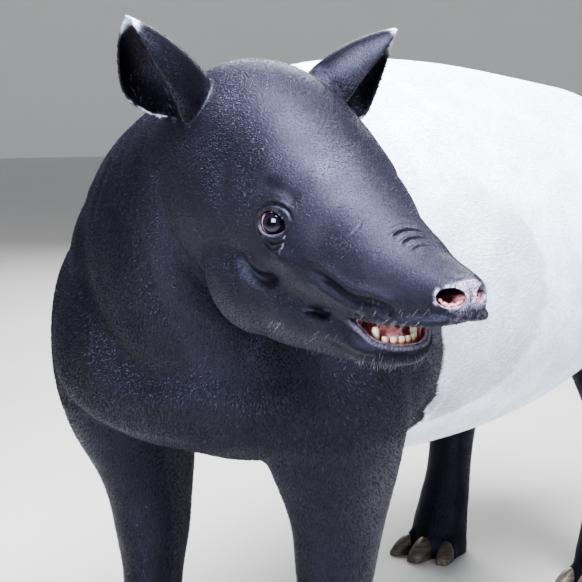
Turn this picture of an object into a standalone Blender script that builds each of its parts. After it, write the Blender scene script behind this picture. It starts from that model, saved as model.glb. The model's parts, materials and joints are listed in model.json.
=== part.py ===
"""Malayan tapir, an adult that stands square with its head turned to its own left and its lips parted.

Metres, +Z up, +X towards the chest, +Y towards the animal's left. The flesh is drawn as a few lofts, made one
skin by a voxel remesh, thinned to few faces, and then parted into the animal's members by thin cuts.
"""

import math

import bmesh
import bpy
import numpy as np
from mathutils import Matrix, Vector

# Driving sizes
GAP = 0.0003                                # left between members that touch
BOX_MIDDLE = Vector((-0.0253, 0.1504, 0.0))   # middle of the whole box, which becomes the origin
POLL = Vector((0.560, 0.198, 0.965))        # midway between the roots of the ears
HEAD_TURN = math.radians(64.0)              # of the face to the animal's left, from straight ahead
HEAD_LIFT = math.radians(0.5)
HEAD_LEAN = math.radians(2.0)               # the left ear is the higher one
AROUND = 40                                 # points round one section of a loft
BODY_VOXEL = 0.007
HEAD_VOXEL = 0.003
BODY_SMOOTHING = 10                         # rounds of smoothing that join the body's masses
MASS_SMOOTHING = 22                         # and the head's
RIM_SMOOTHING = 3                           # and the ears, lids, lips and nostril rims to it
BODY_FACES = 5000                           # triangles kept in the trunk, neck, legs and tail
HEAD_FACES = 5080                           # triangles kept in the head, jaw and ears
SIDES = {"left": 1, "right": -1}

# Trunk sections: x, top, bottom, half width, height of the widest point, squareness above and below
TRUNK = (
    (-0.800, 0.760, 0.620, 0.070, 0.700, 2.0, 2.0),
    (-0.770, 0.825, 0.545, 0.150, 0.700, 2.0, 2.0),
    (-0.690, 0.890, 0.470, 0.225, 0.685, 2.0, 2.0),
    (-0.550, 0.935, 0.425, 0.272, 0.670, 2.0, 2.1),
    (-0.380, 0.962, 0.392, 0.302, 0.655, 2.0, 2.2),
    (-0.160, 0.990, 0.375, 0.320, 0.645, 2.0, 2.2),
    (0.050, 1.002, 0.380, 0.306, 0.645, 2.0, 2.2),
    (0.200, 0.992, 0.405, 0.280, 0.635, 1.9, 2.2),
    (0.330, 0.960, 0.435, 0.264, 0.610, 1.8, 2.3),
    (0.430, 0.885, 0.455, 0.250, 0.595, 1.8, 2.4),
    (0.515, 0.780, 0.490, 0.200, 0.600, 1.9, 2.4),
    (0.556, 0.700, 0.550, 0.110, 0.620, 2.0, 2.0),
)
# Neck sections from the withers to the poll: share of the way, half width, rise, drop
NECK = (
    (0.00, 0.222, 0.205, 0.265),
    (0.30, 0.206, 0.184, 0.260),
    (0.60, 0.174, 0.158, 0.232),
    (0.85, 0.135, 0.140, 0.190),
    (1.00, 0.115, 0.132, 0.160),
)
NECK_ROOT = Vector((0.255, -0.010, 0.712))
NECK_LEAVES = Vector((1.0, -0.15, 0.20))    # the way the neck leaves the trunk
NECK_REACH = 0.38                           # how far each end keeps its own direction
NECK_END = Vector((-0.055, 0.0, -0.100))    # in the head's frame
# Muscle that fills the outer bend of the neck, from the shoulder's point up: centre, radii, the way it runs
NECK_MUSCLE = ((0.427, -0.112, 0.740), (0.135, 0.084, 0.112), (0.27, 0.33, 0.91))
# Upper head, in the head's own frame: x forward, top, bottom, half width, height of the widest, squareness
SKULL = (
    (-0.130, 0.020, -0.200, 0.100, -0.090, 2.0, 2.0),
    (-0.080, 0.046, -0.225, 0.115, -0.090, 2.0, 2.0),
    (-0.010, 0.057, -0.240, 0.114, -0.100, 2.1, 2.0),
    (0.060, 0.046, -0.245, 0.109, -0.110, 2.2, 2.0),
    (0.130, 0.014, -0.240, 0.103, -0.118, 2.2, 2.0),
    (0.200, -0.030, -0.232, 0.094, -0.135, 2.1, 2.2),
    (0.260, -0.074, -0.222, 0.082, -0.165, 2.0, 2.6),
    (0.320, -0.110, -0.2185, 0.069, -0.186, 1.9, 3.0),
    (0.375, -0.136, -0.2135, 0.055, -0.186, 1.9, 3.0),
    (0.415, -0.148, -0.2095, 0.043, -0.182, 2.0, 2.8),
    (0.438, -0.155, -0.2065, 0.035, -0.180, 2.2, 2.6),
    (0.452, -0.158, -0.2040, 0.026, -0.180, 2.2, 2.4),
    (0.461, -0.164, -0.1990, 0.010, -0.180, 2.2, 2.2),
)
JAW = (
    (-0.030, -0.100, -0.225, 0.060, -0.180, 2.0, 2.0),
    (0.020, -0.120, -0.272, 0.090, -0.200, 2.0, 2.0),
    (0.100, -0.130, -0.288, 0.090, -0.210, 2.0, 2.0),
    (0.180, -0.160, -0.286, 0.080, -0.225, 2.0, 2.0),
    (0.250, -0.195, -0.282, 0.064, -0.236, 2.4, 2.0),
    (0.285, -0.208, -0.280, 0.057, -0.243, 2.6, 2.0),
    (0.308, -0.226, -0.278, 0.051, -0.252, 2.6, 2.0),
    (0.324, -0.240, -0.276, 0.041, -0.258, 2.6, 2.0),
    (0.338, -0.248, -0.273, 0.027, -0.261, 2.4, 2.0),
    (0.347, -0.254, -0.267, 0.012, -0.261, 2.0, 2.0),
)
# Masses laid on both sides of the head: centre, radii, the way the long one points
MASSES = (
    ((0.070, 0.060, -0.190), (0.105, 0.043, 0.078), (1.0, 0.0, -0.30)),
    ((0.155, 0.066, -0.094), (0.075, 0.030, 0.034), (1.0, 0.0, -0.45)),
    ((0.205, 0.064, -0.150), (0.052, 0.032, 0.022), (1.0, 0.0, -0.45)),
)
# Edges of the lips, drawn as round tubes from the front back along the right side, then mirrored
UPPER_LIP = ((0.455, 0.0, -0.200), (0.449, 0.020, -0.201), (0.428, 0.035, -0.204), (0.390, 0.046, -0.208),
             (0.345, 0.053, -0.212), (0.300, 0.058, -0.214), (0.262, 0.061, -0.214))
UPPER_LIP_THICK = 0.0060
LOWER_LIP = ((0.3430, 0.0, -0.2520), (0.3395, 0.014, -0.2515), (0.3300, 0.027, -0.2490),
             (0.3180, 0.037, -0.2435), (0.3080, 0.044, -0.2325), (0.2900, 0.050, -0.2230))
LOWER_LIP_THICK = 0.0048
# The hollow of the mouth, carved from both: x, top, bottom, half width, height of the widest, squareness
MOUTH = (
    (0.225, -0.222, -0.232, 0.016, -0.228, 2.0, 2.0),
    (0.250, -0.214, -0.252, 0.035, -0.232, 2.4, 2.4),
    (0.285, -0.209, -0.262, 0.044, -0.234, 2.8, 2.8),
    (0.312, -0.208, -0.265, 0.0385, -0.236, 2.8, 2.8),
    (0.328, -0.210, -0.264, 0.0265, -0.240, 2.6, 2.6),
    (0.339, -0.218, -0.258, 0.012, -0.242, 2.0, 2.0),
)
LIP_LINE = -0.2185                          # height at which the jaw is parted from the upper head
JAW_BACK = 0.062                            # where the jaw's own node ends, under the cheek
# Sections down a leg: height, x, distance from the middle, half length, half width
FORELEG = (
    (0.880, 0.270, 0.090, 0.070, 0.060),
    (0.830, 0.295, 0.125, 0.120, 0.085),
    (0.710, 0.352, 0.160, 0.150, 0.102),
    (0.580, 0.372, 0.180, 0.132, 0.100),
    (0.470, 0.360, 0.184, 0.112, 0.090),
    (0.370, 0.338, 0.176, 0.079, 0.068),
    (0.290, 0.335, 0.170, 0.061, 0.057),
    (0.200, 0.338, 0.168, 0.048, 0.046),
    (0.120, 0.342, 0.170, 0.048, 0.050),
    (0.060, 0.350, 0.170, 0.053, 0.057),
    (-0.010, 0.354, 0.170, 0.055, 0.060),
)
HINDLEG = (
    (0.860, -0.500, 0.070, 0.090, 0.060),
    (0.810, -0.520, 0.115, 0.150, 0.095),
    (0.700, -0.545, 0.155, 0.185, 0.118),
    (0.585, -0.540, 0.172, 0.165, 0.106),
    (0.490, -0.535, 0.178, 0.125, 0.086),
    (0.400, -0.570, 0.176, 0.083, 0.063),
    (0.310, -0.612, 0.174, 0.064, 0.052),
    (0.210, -0.604, 0.174, 0.048, 0.044),
    (0.120, -0.588, 0.176, 0.048, 0.048),
    (0.060, -0.572, 0.178, 0.053, 0.056),
    (-0.010, -0.566, 0.178, 0.055, 0.058),
)
LEG_PARTS_AT = {"foreleg": (FORELEG, 0.605, 0.022), "hindleg": (HINDLEG, 0.575, 0.030)}
# Toes of a left foot: root forward and outward of the leg, way out in degrees, hoof length, width, height
FORE_TOES = (
    (0.022, -0.036, -14, 0.046, 0.033, 0.038),
    (0.034, 0.002, 3, 0.050, 0.039, 0.042),
    (0.020, 0.040, 22, 0.046, 0.033, 0.038),
    (-0.024, 0.044, 66, 0.032, 0.024, 0.028),
)
HIND_TOES = (
    (0.022, -0.037, -16, 0.046, 0.034, 0.038),
    (0.034, 0.000, 0, 0.050, 0.041, 0.042),
    (0.022, 0.037, 16, 0.046, 0.034, 0.038),
)
TOE_NAMES = ("inner", "middle", "outer", "side")
FEET = {"fore": (Vector((0.354, 0.170, 0.0)), FORE_TOES), "hind": (Vector((-0.566, 0.178, 0.0)), HIND_TOES)}
HOOF_STARTS = 0.020                         # along the toe from its root
HOOF_SET_IN = 0.010                         # how far the toe's skin covers the hoof's back
TAIL_ROOT = Vector((-0.755, 0.0, 0.800))
TAIL_WAY = Vector((-0.62, 0.0, -0.78))
# Tail: share of the length, half thickness
TAIL = ((0.0, 0.034), (0.3, 0.030), (0.6, 0.023), (0.88, 0.014), (1.0, 0.006))
TAIL_LENGTH = 0.150
TAIL_PARTS_AT = 0.36                        # share of its length that stays in the rump's node
TAIL_MARGIN = 0.010

EYE = Vector((0.188, 0.0757, -0.1212))       # middle of the left eyeball, in the head's frame
EYE_RADIUS = 0.0215
EYE_LOOKS = Vector((0.54, 0.84, 0.08))      # the way the left eye faces
EYE_CORNER = Vector((0.84, -0.54, -0.16))   # the way to its front corner
LID_LONG, LID_HIGH, LID_THICK = 0.0192, 0.0132, 0.0046
NOSTRIL = Vector((0.4475, 0.0170, -0.1780))
NOSTRIL_FACES = Vector((0.81, 0.58, 0.06))
NOSTRIL_LONG, NOSTRIL_HIGH, NOSTRIL_RIM = 0.0163, 0.0108, 0.0038
NOSTRIL_DEEP = 0.034
EAR_ROOT = {"left": Vector((0.014, 0.082, 0.004)), "right": Vector((-0.012, -0.082, 0.004))}
EAR_WAY = {"left": Vector((0.06, 0.88, 0.43)), "right": Vector((0.06, -0.735, 0.68))}
EAR_OPENS = {"left": Vector((0.44, 0.54, -0.71)), "right": Vector((-0.12, -0.68, -0.70))}
EAR_LENGTH = 0.141
EAR_WALL = 0.0062
EAR_CUT = 0.018                             # along the ear from its root, where its own node begins
# Ear: share of the length, half widths in front and behind, angles that each half wraps, how far the rear
# half reaches round the cup, depth of its back
EAR = (
    (-0.22, 0.027, 0.027, 150, 150, 0.027, 0.027),
    (0.00, 0.033, 0.034, 150, 148, 0.034, 0.033),
    (0.18, 0.039, 0.050, 126, 132, 0.050, 0.038),
    (0.42, 0.040, 0.060, 108, 118, 0.058, 0.040),
    (0.68, 0.034, 0.048, 94, 108, 0.044, 0.036),
    (0.88, 0.022, 0.028, 72, 90, 0.026, 0.029),
    (1.00, 0.006, 0.006, 50, 60, 0.007, 0.024),
)
# Lower teeth, from the middle out: place along the gum's arch, width, height, thickness
TEETH = ((0.10, 0.0092, 0.0085, 0.0062), (0.30, 0.0094, 0.0085, 0.0062), (0.50, 0.0094, 0.0085, 0.0062),
         (0.71, 0.0120, 0.0180, 0.0095))
# Gum arch along the left side: x, y; its top and bottom, half width
GUM = ((0.3310, 0.000), (0.3275, 0.011), (0.3190, 0.020), (0.3050, 0.026), (0.2830, 0.029))
GUM_TOP, GUM_BOTTOM, GUM_HALF = -0.2485, -0.2670, 0.0052
# Tongue: x, top, bottom, half width
TONGUE = (
    (0.238, -0.244, -0.2600, 0.014),
    (0.256, -0.236, -0.2640, 0.019),
    (0.284, -0.232, -0.2660, 0.0205),
    (0.306, -0.235, -0.2660, 0.017),
    (0.321, -0.243, -0.2620, 0.009),
)

# Where the members are parted
NECK_CUT_X, NECK_CUT_Z = -0.096, -0.100     # the back of the head's node, in its own frame
NECK_CUT_LEAN = -0.05                       # how far that cut leans forward for each metre up
NECK_CUT_HALF, NECK_CUT_RISE, NECK_CUT_DROP = 0.165, 0.190, 0.205
NECK_CUT_LENGTH = 0.60
SHOULDER_CUT = Vector((0.430, 0.0, 0.830))  # where the neck begins
SHOULDER_CUT_FACES = Vector((0.70, 0.20, 0.68))
SADDLE_CUT = Vector((0.203, 0.0, 0.530))    # where the white saddle begins
SADDLE_CUT_FACES = Vector((1.0, 0.0, -0.20))
LEG_CUT_MARGIN = 1.5 * GAP                  # how much larger the cutter of the trunk is than the leg's own
LEG_CUT_STEP = 0.004                        # least height between the flat top of that cutter and its next ring

BLACK = (0.016, 0.016, 0.021)
SADDLE = (0.560, 0.580, 0.600)
FINISHES = {
    "black_coat": (BLACK, 0.55, 0.0),
    "white_coat": (SADDLE, 0.65, 0.0),
    "eye": ((0.020, 0.010, 0.012), 0.06, 0.0),
    "hoof": ((0.060, 0.050, 0.045), 0.45, 0.0),
    "mouth": ((0.420, 0.130, 0.140), 0.35, 0.0),
    "tooth": ((0.720, 0.600, 0.400), 0.30, 0.0),
}


def head_frame():
    """The matrix that carries the head's own frame, with its origin at the poll, into the animal's."""
    turn = Matrix.Rotation(HEAD_TURN, 4, "Z")
    lift = Matrix.Rotation(-HEAD_LIFT, 4, "Y")
    lean = Matrix.Rotation(HEAD_LEAN, 4, "X")
    return Matrix.Translation(POLL) @ turn @ lift @ lean


HEAD = head_frame()
PLAIN = Matrix.Identity(4)


def mirrored(vector, side):
    return Vector((vector[0], side * vector[1], vector[2]))


def placed(origin, ahead, up=(0, 0, 1)):
    """A matrix whose x axis runs ahead from origin, with z as near to up as it can be."""
    x = Vector(ahead).normalized()
    y = Vector(up).cross(x).normalized()
    return Matrix.Translation(origin) @ Matrix((x, y, x.cross(y))).transposed().to_4x4()


def filled_in(rows, count):
    """The rows of a few sections, filled in along a smooth curve to count rows."""
    rows = np.array(rows, float)
    slope = np.gradient(rows, axis=0)
    want = np.linspace(0, len(rows) - 1, count)
    low = np.minimum(want.astype(int), len(rows) - 2)
    t = (want - low)[:, None]
    start = (2 * t**3 - 3 * t**2 + 1) * rows[low] + (t**3 - 2 * t**2 + t) * slope[low]
    end = (3 * t**2 - 2 * t**3) * rows[low + 1] + (t**3 - t**2) * slope[low + 1]
    return start + end


def oval(half_width, rise, drop, above=2.0, below=2.0, around=AROUND):
    """Points (across, up) round an oval section, whose top and bottom halves differ."""
    angle = np.linspace(0, 2 * np.pi, around, endpoint=False)
    power = np.where(np.sin(angle) > 0, 2 / above, 2 / below)
    across = np.sign(np.cos(angle)) * np.abs(np.cos(angle)) ** power * half_width
    up = np.sign(np.sin(angle)) * np.abs(np.sin(angle)) ** power
    return across, np.where(up > 0, up * rise, up * drop)


def loft(bm, rings, matrix=PLAIN, ends=True):
    """Adds a closed tube through rings of points to bm, or a ring-shaped one if it has no ends."""
    rows = [[bm.verts.new(matrix @ Vector(p)) for p in ring] for ring in rings]
    count = len(rows[0])
    pairs = list(zip(rows, rows[1:]))
    faces = []
    if ends:
        faces += [bm.faces.new(rows[0][::-1]), bm.faces.new(rows[-1])]
    else:
        pairs.append((rows[-1], rows[0]))
    for first, second in pairs:
        for i in range(count):
            j = (i + 1) % count
            faces.append(bm.faces.new((first[i], first[j], second[j], second[i])))
    bmesh.ops.recalc_face_normals(bm, faces=faces)


def ball(bm, matrix, radii, segments=24, rings=16):
    """Adds an ellipsoid to bm."""
    size = Matrix.Diagonal((*radii, 1.0))
    made = bmesh.ops.create_uvsphere(
        bm, u_segments=segments, v_segments=rings, radius=1.0, matrix=matrix @ size
    )
    bmesh.ops.recalc_face_normals(bm, faces=list({f for v in made["verts"] for f in v.link_faces}))


def tube_rings(points, thickness, around=8, closed=False):
    """Rings round a path of points; thickness is one radius or one for each point."""
    count = len(points)
    thick = np.broadcast_to(thickness, count)
    rings = []
    for i, point in enumerate(points):
        after = points[(i + 1) % count] if closed else points[min(i + 1, count - 1)]
        before = points[i - 1] if closed else points[max(i - 1, 0)]
        ahead = (after - before).normalized()
        side = ahead.cross(Vector((0.02, 0.01, 1))).normalized()
        up = side.cross(ahead)
        angles = [2 * math.pi * k / around for k in range(around)]
        rings.append([point + (math.cos(a) * side + math.sin(a) * up) * float(thick[i]) for a in angles])
    return rings


def both_sides(points):
    """A path drawn from the middle down the left side, made whole with its mirror image."""
    right = [Vector((x, -y, z)) for x, y, z in points[:0:-1]]
    return right + [Vector(p) for p in points]


def sections_along_x(rows, count, grown=0.0):
    """Rings across the x axis, from rows of x, top, bottom, half width, height of the widest, squareness."""
    rings = []
    for x, top, bottom, half_width, middle, above, below in filled_in(rows, count):
        across, up = oval(half_width + grown, top - middle + grown, middle - bottom + grown, above, below)
        rings.append([(x, y, middle + z) for y, z in zip(across, up)])
    return rings


def sections_down(rows, side, count=44, grown=0.0, around=AROUND):
    """Rings down a leg, grown outwards by a margin."""
    rings = []
    for z, x, out, half_length, half_width in filled_in(rows, count):
        across, along = oval(half_width + grown, half_length + grown, half_length + grown, around=around)
        rings.append([(x + b, side * out + a, z) for a, b in zip(across, along)])
    return rings


def neck_rings(count=24, since=0.0):
    """Rings that turn with the neck from the trunk's direction to the head's."""
    start, end = NECK_ROOT, HEAD @ NECK_END
    way_in = NECK_LEAVES.normalized() * NECK_REACH
    way_out = (HEAD.to_3x3() @ Vector((1, 0, -0.05))).normalized() * NECK_REACH * 0.8
    rings = []
    for t, half_width, rise, drop in filled_in(NECK, count):
        if t < since:
            continue
        place = (
            start * (2 * t**3 - 3 * t**2 + 1)
            + way_in * (t**3 - 2 * t**2 + t)
            + end * (3 * t**2 - 2 * t**3)
            + way_out * (t**3 - t**2)
        )
        ahead = (
            (end - start) * (6 * t - 6 * t**2)
            + way_in * (3 * t**2 - 4 * t + 1)
            + way_out * (3 * t**2 - 2 * t)
        ).normalized()
        left = Vector((0, 0, 1)).cross(ahead).normalized()
        up = ahead.cross(left)
        across, height = oval(half_width, rise, drop, 1.9, 2.0)
        rings.append([place + left * a + up * b for a, b in zip(across, height)])
    return rings


def tail_rings(count=14, grown=0.0, since=0.0, longer=0.0):
    """Rings down the stub of the tail, grown by a margin, from a share of its length to past its tip."""
    way = TAIL_WAY.normalized()
    side = Vector((0, 1, 0))
    rows = [row for row in filled_in(TAIL, count) if row[0] >= since]
    rings = []
    for i, (share, thick) in enumerate(rows):
        across, height = oval(thick + grown, thick * 0.8 + grown, thick * 0.8 + grown, around=16)
        hangs = Vector((0.02, 0, -0.03)) * share**2
        further = longer * (i == len(rows) - 1) - longer * (i == 0)
        place = TAIL_ROOT + way * (TAIL_LENGTH * share + further) + hangs
        rings.append([place + side * a + way.cross(side) * b for a, b in zip(across, height)])
    return rings


def ear_rings(name, count=26, across=13):
    """Rings up an ear: each goes round the outside of the cup and back along the inside."""
    way = EAR_WAY[name].normalized()
    opens = (EAR_OPENS[name] - way * EAR_OPENS[name].dot(way)).normalized()
    wide = way.cross(opens)
    rings = []
    for share, front, rear, front_wrap, rear_wrap, reach, back in filled_in(EAR, count):
        place = EAR_ROOT[name] + way * (EAR_LENGTH * share) - opens * back
        ring = []
        for wall, steps in ((0.0, np.linspace(-1, 1, across)), (EAR_WALL, np.linspace(1, -1, across))):
            inner = wall * min(1.0, front / 0.02)
            for s in steps:
                behind = s * SIDES[name] > 0
                half, wrap, deep = (rear, rear_wrap, reach) if behind else (front, front_wrap, front)
                turn = s * math.radians(wrap)
                wider = half / math.sin(math.radians(min(wrap, 90))) - inner
                depth = inner + (deep - inner) * (1 - math.cos(turn))
                ring.append(place + opens * depth + wide * wider * math.sin(turn))
        rings.append(ring)
    return rings


def eye_matrix(side):
    """The eye's own frame: x looks out of the head, y runs along the lids to the front corner, z up."""
    look = mirrored(EYE_LOOKS, side).normalized()
    front = mirrored(EYE_CORNER, side)
    front = (front - look * front.dot(look)).normalized()
    up = front.cross(look) * side
    return Matrix.Translation(mirrored(EYE, side)) @ Matrix((look, front, up)).transposed().to_4x4()


def lid_loop(side, grow=1.0, radius=EYE_RADIUS, count=28):
    """Points round the parted lids, on a ball just over the eye."""
    frame = eye_matrix(side)
    points = []
    for i in range(count):
        a = 2 * math.pi * i / count
        along = LID_LONG * grow * math.cos(a)
        high = LID_HIGH * grow * math.sin(a) * (1.0 - 0.25 * math.cos(a))
        out = math.sqrt(max(radius**2 - along**2 - high**2, 1e-8))
        points.append(frame @ Vector((out, along, high)))
    return points


def nostril_matrix(side):
    return placed(mirrored(NOSTRIL, side), mirrored(NOSTRIL_FACES, side))


def nostril_loop(side, count=28):
    frame = nostril_matrix(side)
    angles = [2 * math.pi * i / count for i in range(count)]
    return [frame @ Vector((0.001, NOSTRIL_LONG * math.cos(a), NOSTRIL_HIGH * math.sin(a))) for a in angles]


def linked(name, bm):
    """Makes bm an object of the scene."""
    mesh = bpy.data.meshes.new(name)
    bm.to_mesh(mesh)
    bm.free()
    made = bpy.data.objects.new(name, mesh)
    bpy.context.scene.collection.objects.link(made)
    return made


def made_of(name, *shapes):
    """An object of several closed shapes, each given as rings and a matrix."""
    bm = bmesh.new()
    for rings, matrix in shapes:
        loft(bm, rings, matrix)
    bmesh.ops.triangulate(bm, faces=bm.faces, quad_method="FIXED")
    return linked(name, bm)


def settled(obj):
    """Applies an object's modifiers."""
    bpy.context.view_layer.update()
    graph = bpy.context.evaluated_depsgraph_get()
    mesh = bpy.data.meshes.new_from_object(obj.evaluated_get(graph))
    obj.modifiers.clear()
    obj.data = mesh
    return obj


def one_skin(obj, voxel, smoothing):
    """Makes one closed skin of the shapes joined in an object."""
    remesh = obj.modifiers.new("one_skin", "REMESH")
    remesh.mode = "VOXEL"
    remesh.voxel_size = voxel
    soften = obj.modifiers.new("soften", "SMOOTH")
    soften.iterations = smoothing
    return settled(obj)


def thinned(obj, faces):
    """Keeps about this many triangles."""
    obj.modifiers.new("triangles", "TRIANGULATE")
    settled(obj)
    fewer = obj.modifiers.new("thinned", "DECIMATE")
    fewer.ratio = min(1.0, faces / len(obj.data.polygons))
    return settled(obj)


def combined(obj, others, operation):
    """Cuts, joins or crosses an object with helpers, one after another, and removes them."""
    for other in others:
        step = obj.modifiers.new(operation.lower(), "BOOLEAN")
        step.operation = operation
        step.solver = "EXACT"
        step.object = other
        settled(obj)
    for other in others:
        bpy.data.objects.remove(other)
    return largest(obj)


def copied(obj, name):
    twin = bpy.data.objects.new(name, obj.data.copy())
    bpy.context.scene.collection.objects.link(twin)
    return twin


def halved(obj, point, way):
    """Keeps what lies ahead of a plane, half a gap off it, and closes the cut."""
    bm = bmesh.new()
    bm.from_mesh(obj.data)
    way = Vector(way).normalized()
    whole = bm.verts[:] + bm.edges[:] + bm.faces[:]
    start = Vector(point) + way * GAP / 2
    bmesh.ops.bisect_plane(bm, geom=whole, dist=1e-7, plane_co=start, plane_no=way, clear_inner=True)
    bmesh.ops.holes_fill(bm, edges=[e for e in bm.edges if e.is_boundary], sides=0)
    bmesh.ops.triangulate(bm, faces=[f for f in bm.faces if len(f.verts) > 4])
    bmesh.ops.recalc_face_normals(bm, faces=bm.faces)
    bm.to_mesh(obj.data)
    bm.free()
    return obj


def parted(obj, name, point, way):
    """Parts what lies ahead of a plane from an object, as a new object of its own."""
    ahead = largest(halved(copied(obj, name), point, way))
    halved(obj, point, -Vector(way))
    return ahead


def largest(obj):
    """Keeps an object's largest closed surface."""
    bm = bmesh.new()
    bm.from_mesh(obj.data)
    left, groups = set(bm.verts), []
    while left:
        group, edge = set(), [next(iter(left))]
        while edge:
            vert = edge.pop()
            if vert in group:
                continue
            group.add(vert)
            edge.extend(e.other_vert(vert) for e in vert.link_edges)
        groups.append(group)
        left -= group
    keep = max(groups, key=len)
    bmesh.ops.delete(bm, geom=[v for v in bm.verts if v not in keep], context="VERTS")
    bm.to_mesh(obj.data)
    bm.free()
    return obj


def finished(obj, finish):
    """Shades an object smooth and gives it its own material."""
    colour, roughness, metallic = FINISHES[finish]
    material = bpy.data.materials.new(obj.name)
    material.use_nodes = True
    shader = material.node_tree.nodes["Principled BSDF"]
    shader.inputs["Base Color"].default_value = (*colour, 1.0)
    shader.inputs["Roughness"].default_value = roughness
    shader.inputs["Metallic"].default_value = metallic
    obj.data.materials.clear()
    obj.data.materials.append(material)
    obj.data.shade_smooth()
    obj.data.set_sharp_from_angle(angle=math.radians(50))
    return obj


def toe_rings(foot, side, toe, start, end, grown=0.0, blunt=False, count=5):
    """Rings out along a toe of a foot, flat below; a blunt one narrows and falls to its front edge."""
    forward, outward, degrees, _, width, height = toe
    turn = math.radians(degrees) * side
    ahead = Vector((math.cos(turn), math.sin(turn), 0))
    across = Vector((-math.sin(turn), math.cos(turn), 0))
    root = mirrored(FEET[foot][0] + Vector((forward, outward, 0)), side)
    rings = []
    for share in np.linspace(0, 1, count):
        falls = 1 - 0.72 * share**1.6 if blunt else 1.0
        narrow = math.sqrt(1 - 0.72 * share**2.5) if blunt else 1.0
        place = root + ahead * (start + (end - start) * share)
        ring = []
        for a in np.linspace(0, math.pi, 8):
            sideways = (width / 2 * narrow + grown) * math.cos(a)
            high = (height * falls + grown) * math.sin(a) ** 0.7
            ring.append(place + across * sideways + Vector((0, 0, high)))
        if grown:
            ring = [p - Vector((0, 0, grown)) if i in (0, 7) else p for i, p in enumerate(ring)]
        rings.append(ring)
    return rings


def hoof_rings(foot, side, toe, grown=0.0):
    """Rings of one hoof, from under the toe's skin out to its blunt edge."""
    start, end = HOOF_STARTS - grown, HOOF_STARTS + toe[3] + grown
    return toe_rings(foot, side, toe, start, end, grown, blunt=True)


def body_flesh():
    """The trunk, neck, legs and tail as one skin."""
    bm = bmesh.new()
    loft(bm, sections_along_x(TRUNK, 60))
    loft(bm, neck_rings())
    loft(bm, tail_rings())
    loft(bm, sections_along_x(SKULL[:5], 20), HEAD)
    centre, radii, way = NECK_MUSCLE
    ball(bm, placed(centre, way, (1, 0, 0)), radii)
    for side in SIDES.values():
        loft(bm, sections_down(FORELEG, side))
        loft(bm, sections_down(HINDLEG, side))
        for foot, (_, toes) in FEET.items():
            for toe in toes:
                loft(bm, toe_rings(foot, side, toe, -0.020, HOOF_STARTS + HOOF_SET_IN, 0.0035))
    body = one_skin(linked("trunk", bm), BODY_VOXEL, BODY_SMOOTHING)
    return halved(thinned(body, BODY_FACES), (0, 0, -GAP / 2), (0, 0, 1))


def head_flesh():
    """The head, jaw and ears as one skin, with the mouth and the nostrils carved out."""
    bm = bmesh.new()
    loft(bm, sections_along_x(SKULL, 70))
    loft(bm, sections_along_x(JAW, 50))
    loft(bm, neck_rings(since=0.6), HEAD.inverted())
    for side in SIDES.values():
        for centre, radii, way in MASSES:
            ball(bm, placed(mirrored(centre, side), mirrored(way, side), (0.01, 0, 1)), radii)
    head = one_skin(linked("masses", bm), HEAD_VOXEL, MASS_SMOOTHING)
    bm = bmesh.new()
    bm.from_mesh(head.data)
    bpy.data.objects.remove(head)
    for name, side in SIDES.items():
        loft(bm, ear_rings(name))
        loft(bm, tube_rings(lid_loop(side, 1.14, EYE_RADIUS + 0.0022), LID_THICK, closed=True), ends=False)
        loft(bm, tube_rings(nostril_loop(side), NOSTRIL_RIM, closed=True), ends=False)
    for lip, thick in ((UPPER_LIP, UPPER_LIP_THICK), (LOWER_LIP, LOWER_LIP_THICK)):
        loft(bm, tube_rings(both_sides(lip), thick))
    head = one_skin(linked("head", bm), HEAD_VOXEL, RIM_SMOOTHING)
    cutters = [made_of("mouth", (sections_along_x(MOUTH, 20), PLAIN))]
    for side in SIDES.values():
        bm = bmesh.new()
        inner = nostril_matrix(side) @ Matrix.Translation((-0.004, 0, 0))
        ball(bm, inner, (NOSTRIL_DEEP, NOSTRIL_LONG - 0.0012, NOSTRIL_HIGH - 0.0012))
        cutters.append(linked("nostril", bm))
    return combined(thinned(head, HEAD_FACES * 6), cutters, "DIFFERENCE")


def lid_opening(side):
    """The cutter that opens the lids over the eye."""
    frame = eye_matrix(side)
    flat = [frame.inverted() @ p for p in lid_loop(side)]
    rows = []
    for out, grow in ((0.006, 0.72), (0.0175, 0.94), (0.021, 1.02), (0.045, 1.45)):
        rows.append([(out, p.y * grow, p.z * grow) for p in flat])
    return made_of("lid_opening", (rows, frame))


def eyeball(side, grown=0.0):
    """A ball whose pole looks out of the head."""
    bm = bmesh.new()
    ball(bm, eye_matrix(side) @ Matrix.Rotation(math.radians(90), 4, "Y"), [EYE_RADIUS + grown] * 3, 16, 10)
    return linked("eye", bm)


def gum_rings(grown=0.0):
    """Rings along the lower gum's arch, from the right side to the left."""
    half = [Vector((x, y, 0)) for x, y in filled_in(GUM, 7)]
    points = both_sides(half)
    rings = []
    for i, point in enumerate(points):
        ahead = (points[min(i + 1, len(points) - 1)] - points[max(i - 1, 0)]).normalized()
        side = Vector((-ahead.y, ahead.x, 0))
        middle, tall = (GUM_TOP + GUM_BOTTOM) / 2, (GUM_TOP - GUM_BOTTOM) / 2 + grown
        across, up = oval(GUM_HALF + grown, tall, tall, 2.4, 2.4, 8)
        shift = ahead * (grown if i == len(points) - 1 else -grown if i == 0 else 0.0)
        rings.append([point + side * a + Vector((0, 0, middle + b)) + shift for a, b in zip(across, up)])
    return rings


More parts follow.
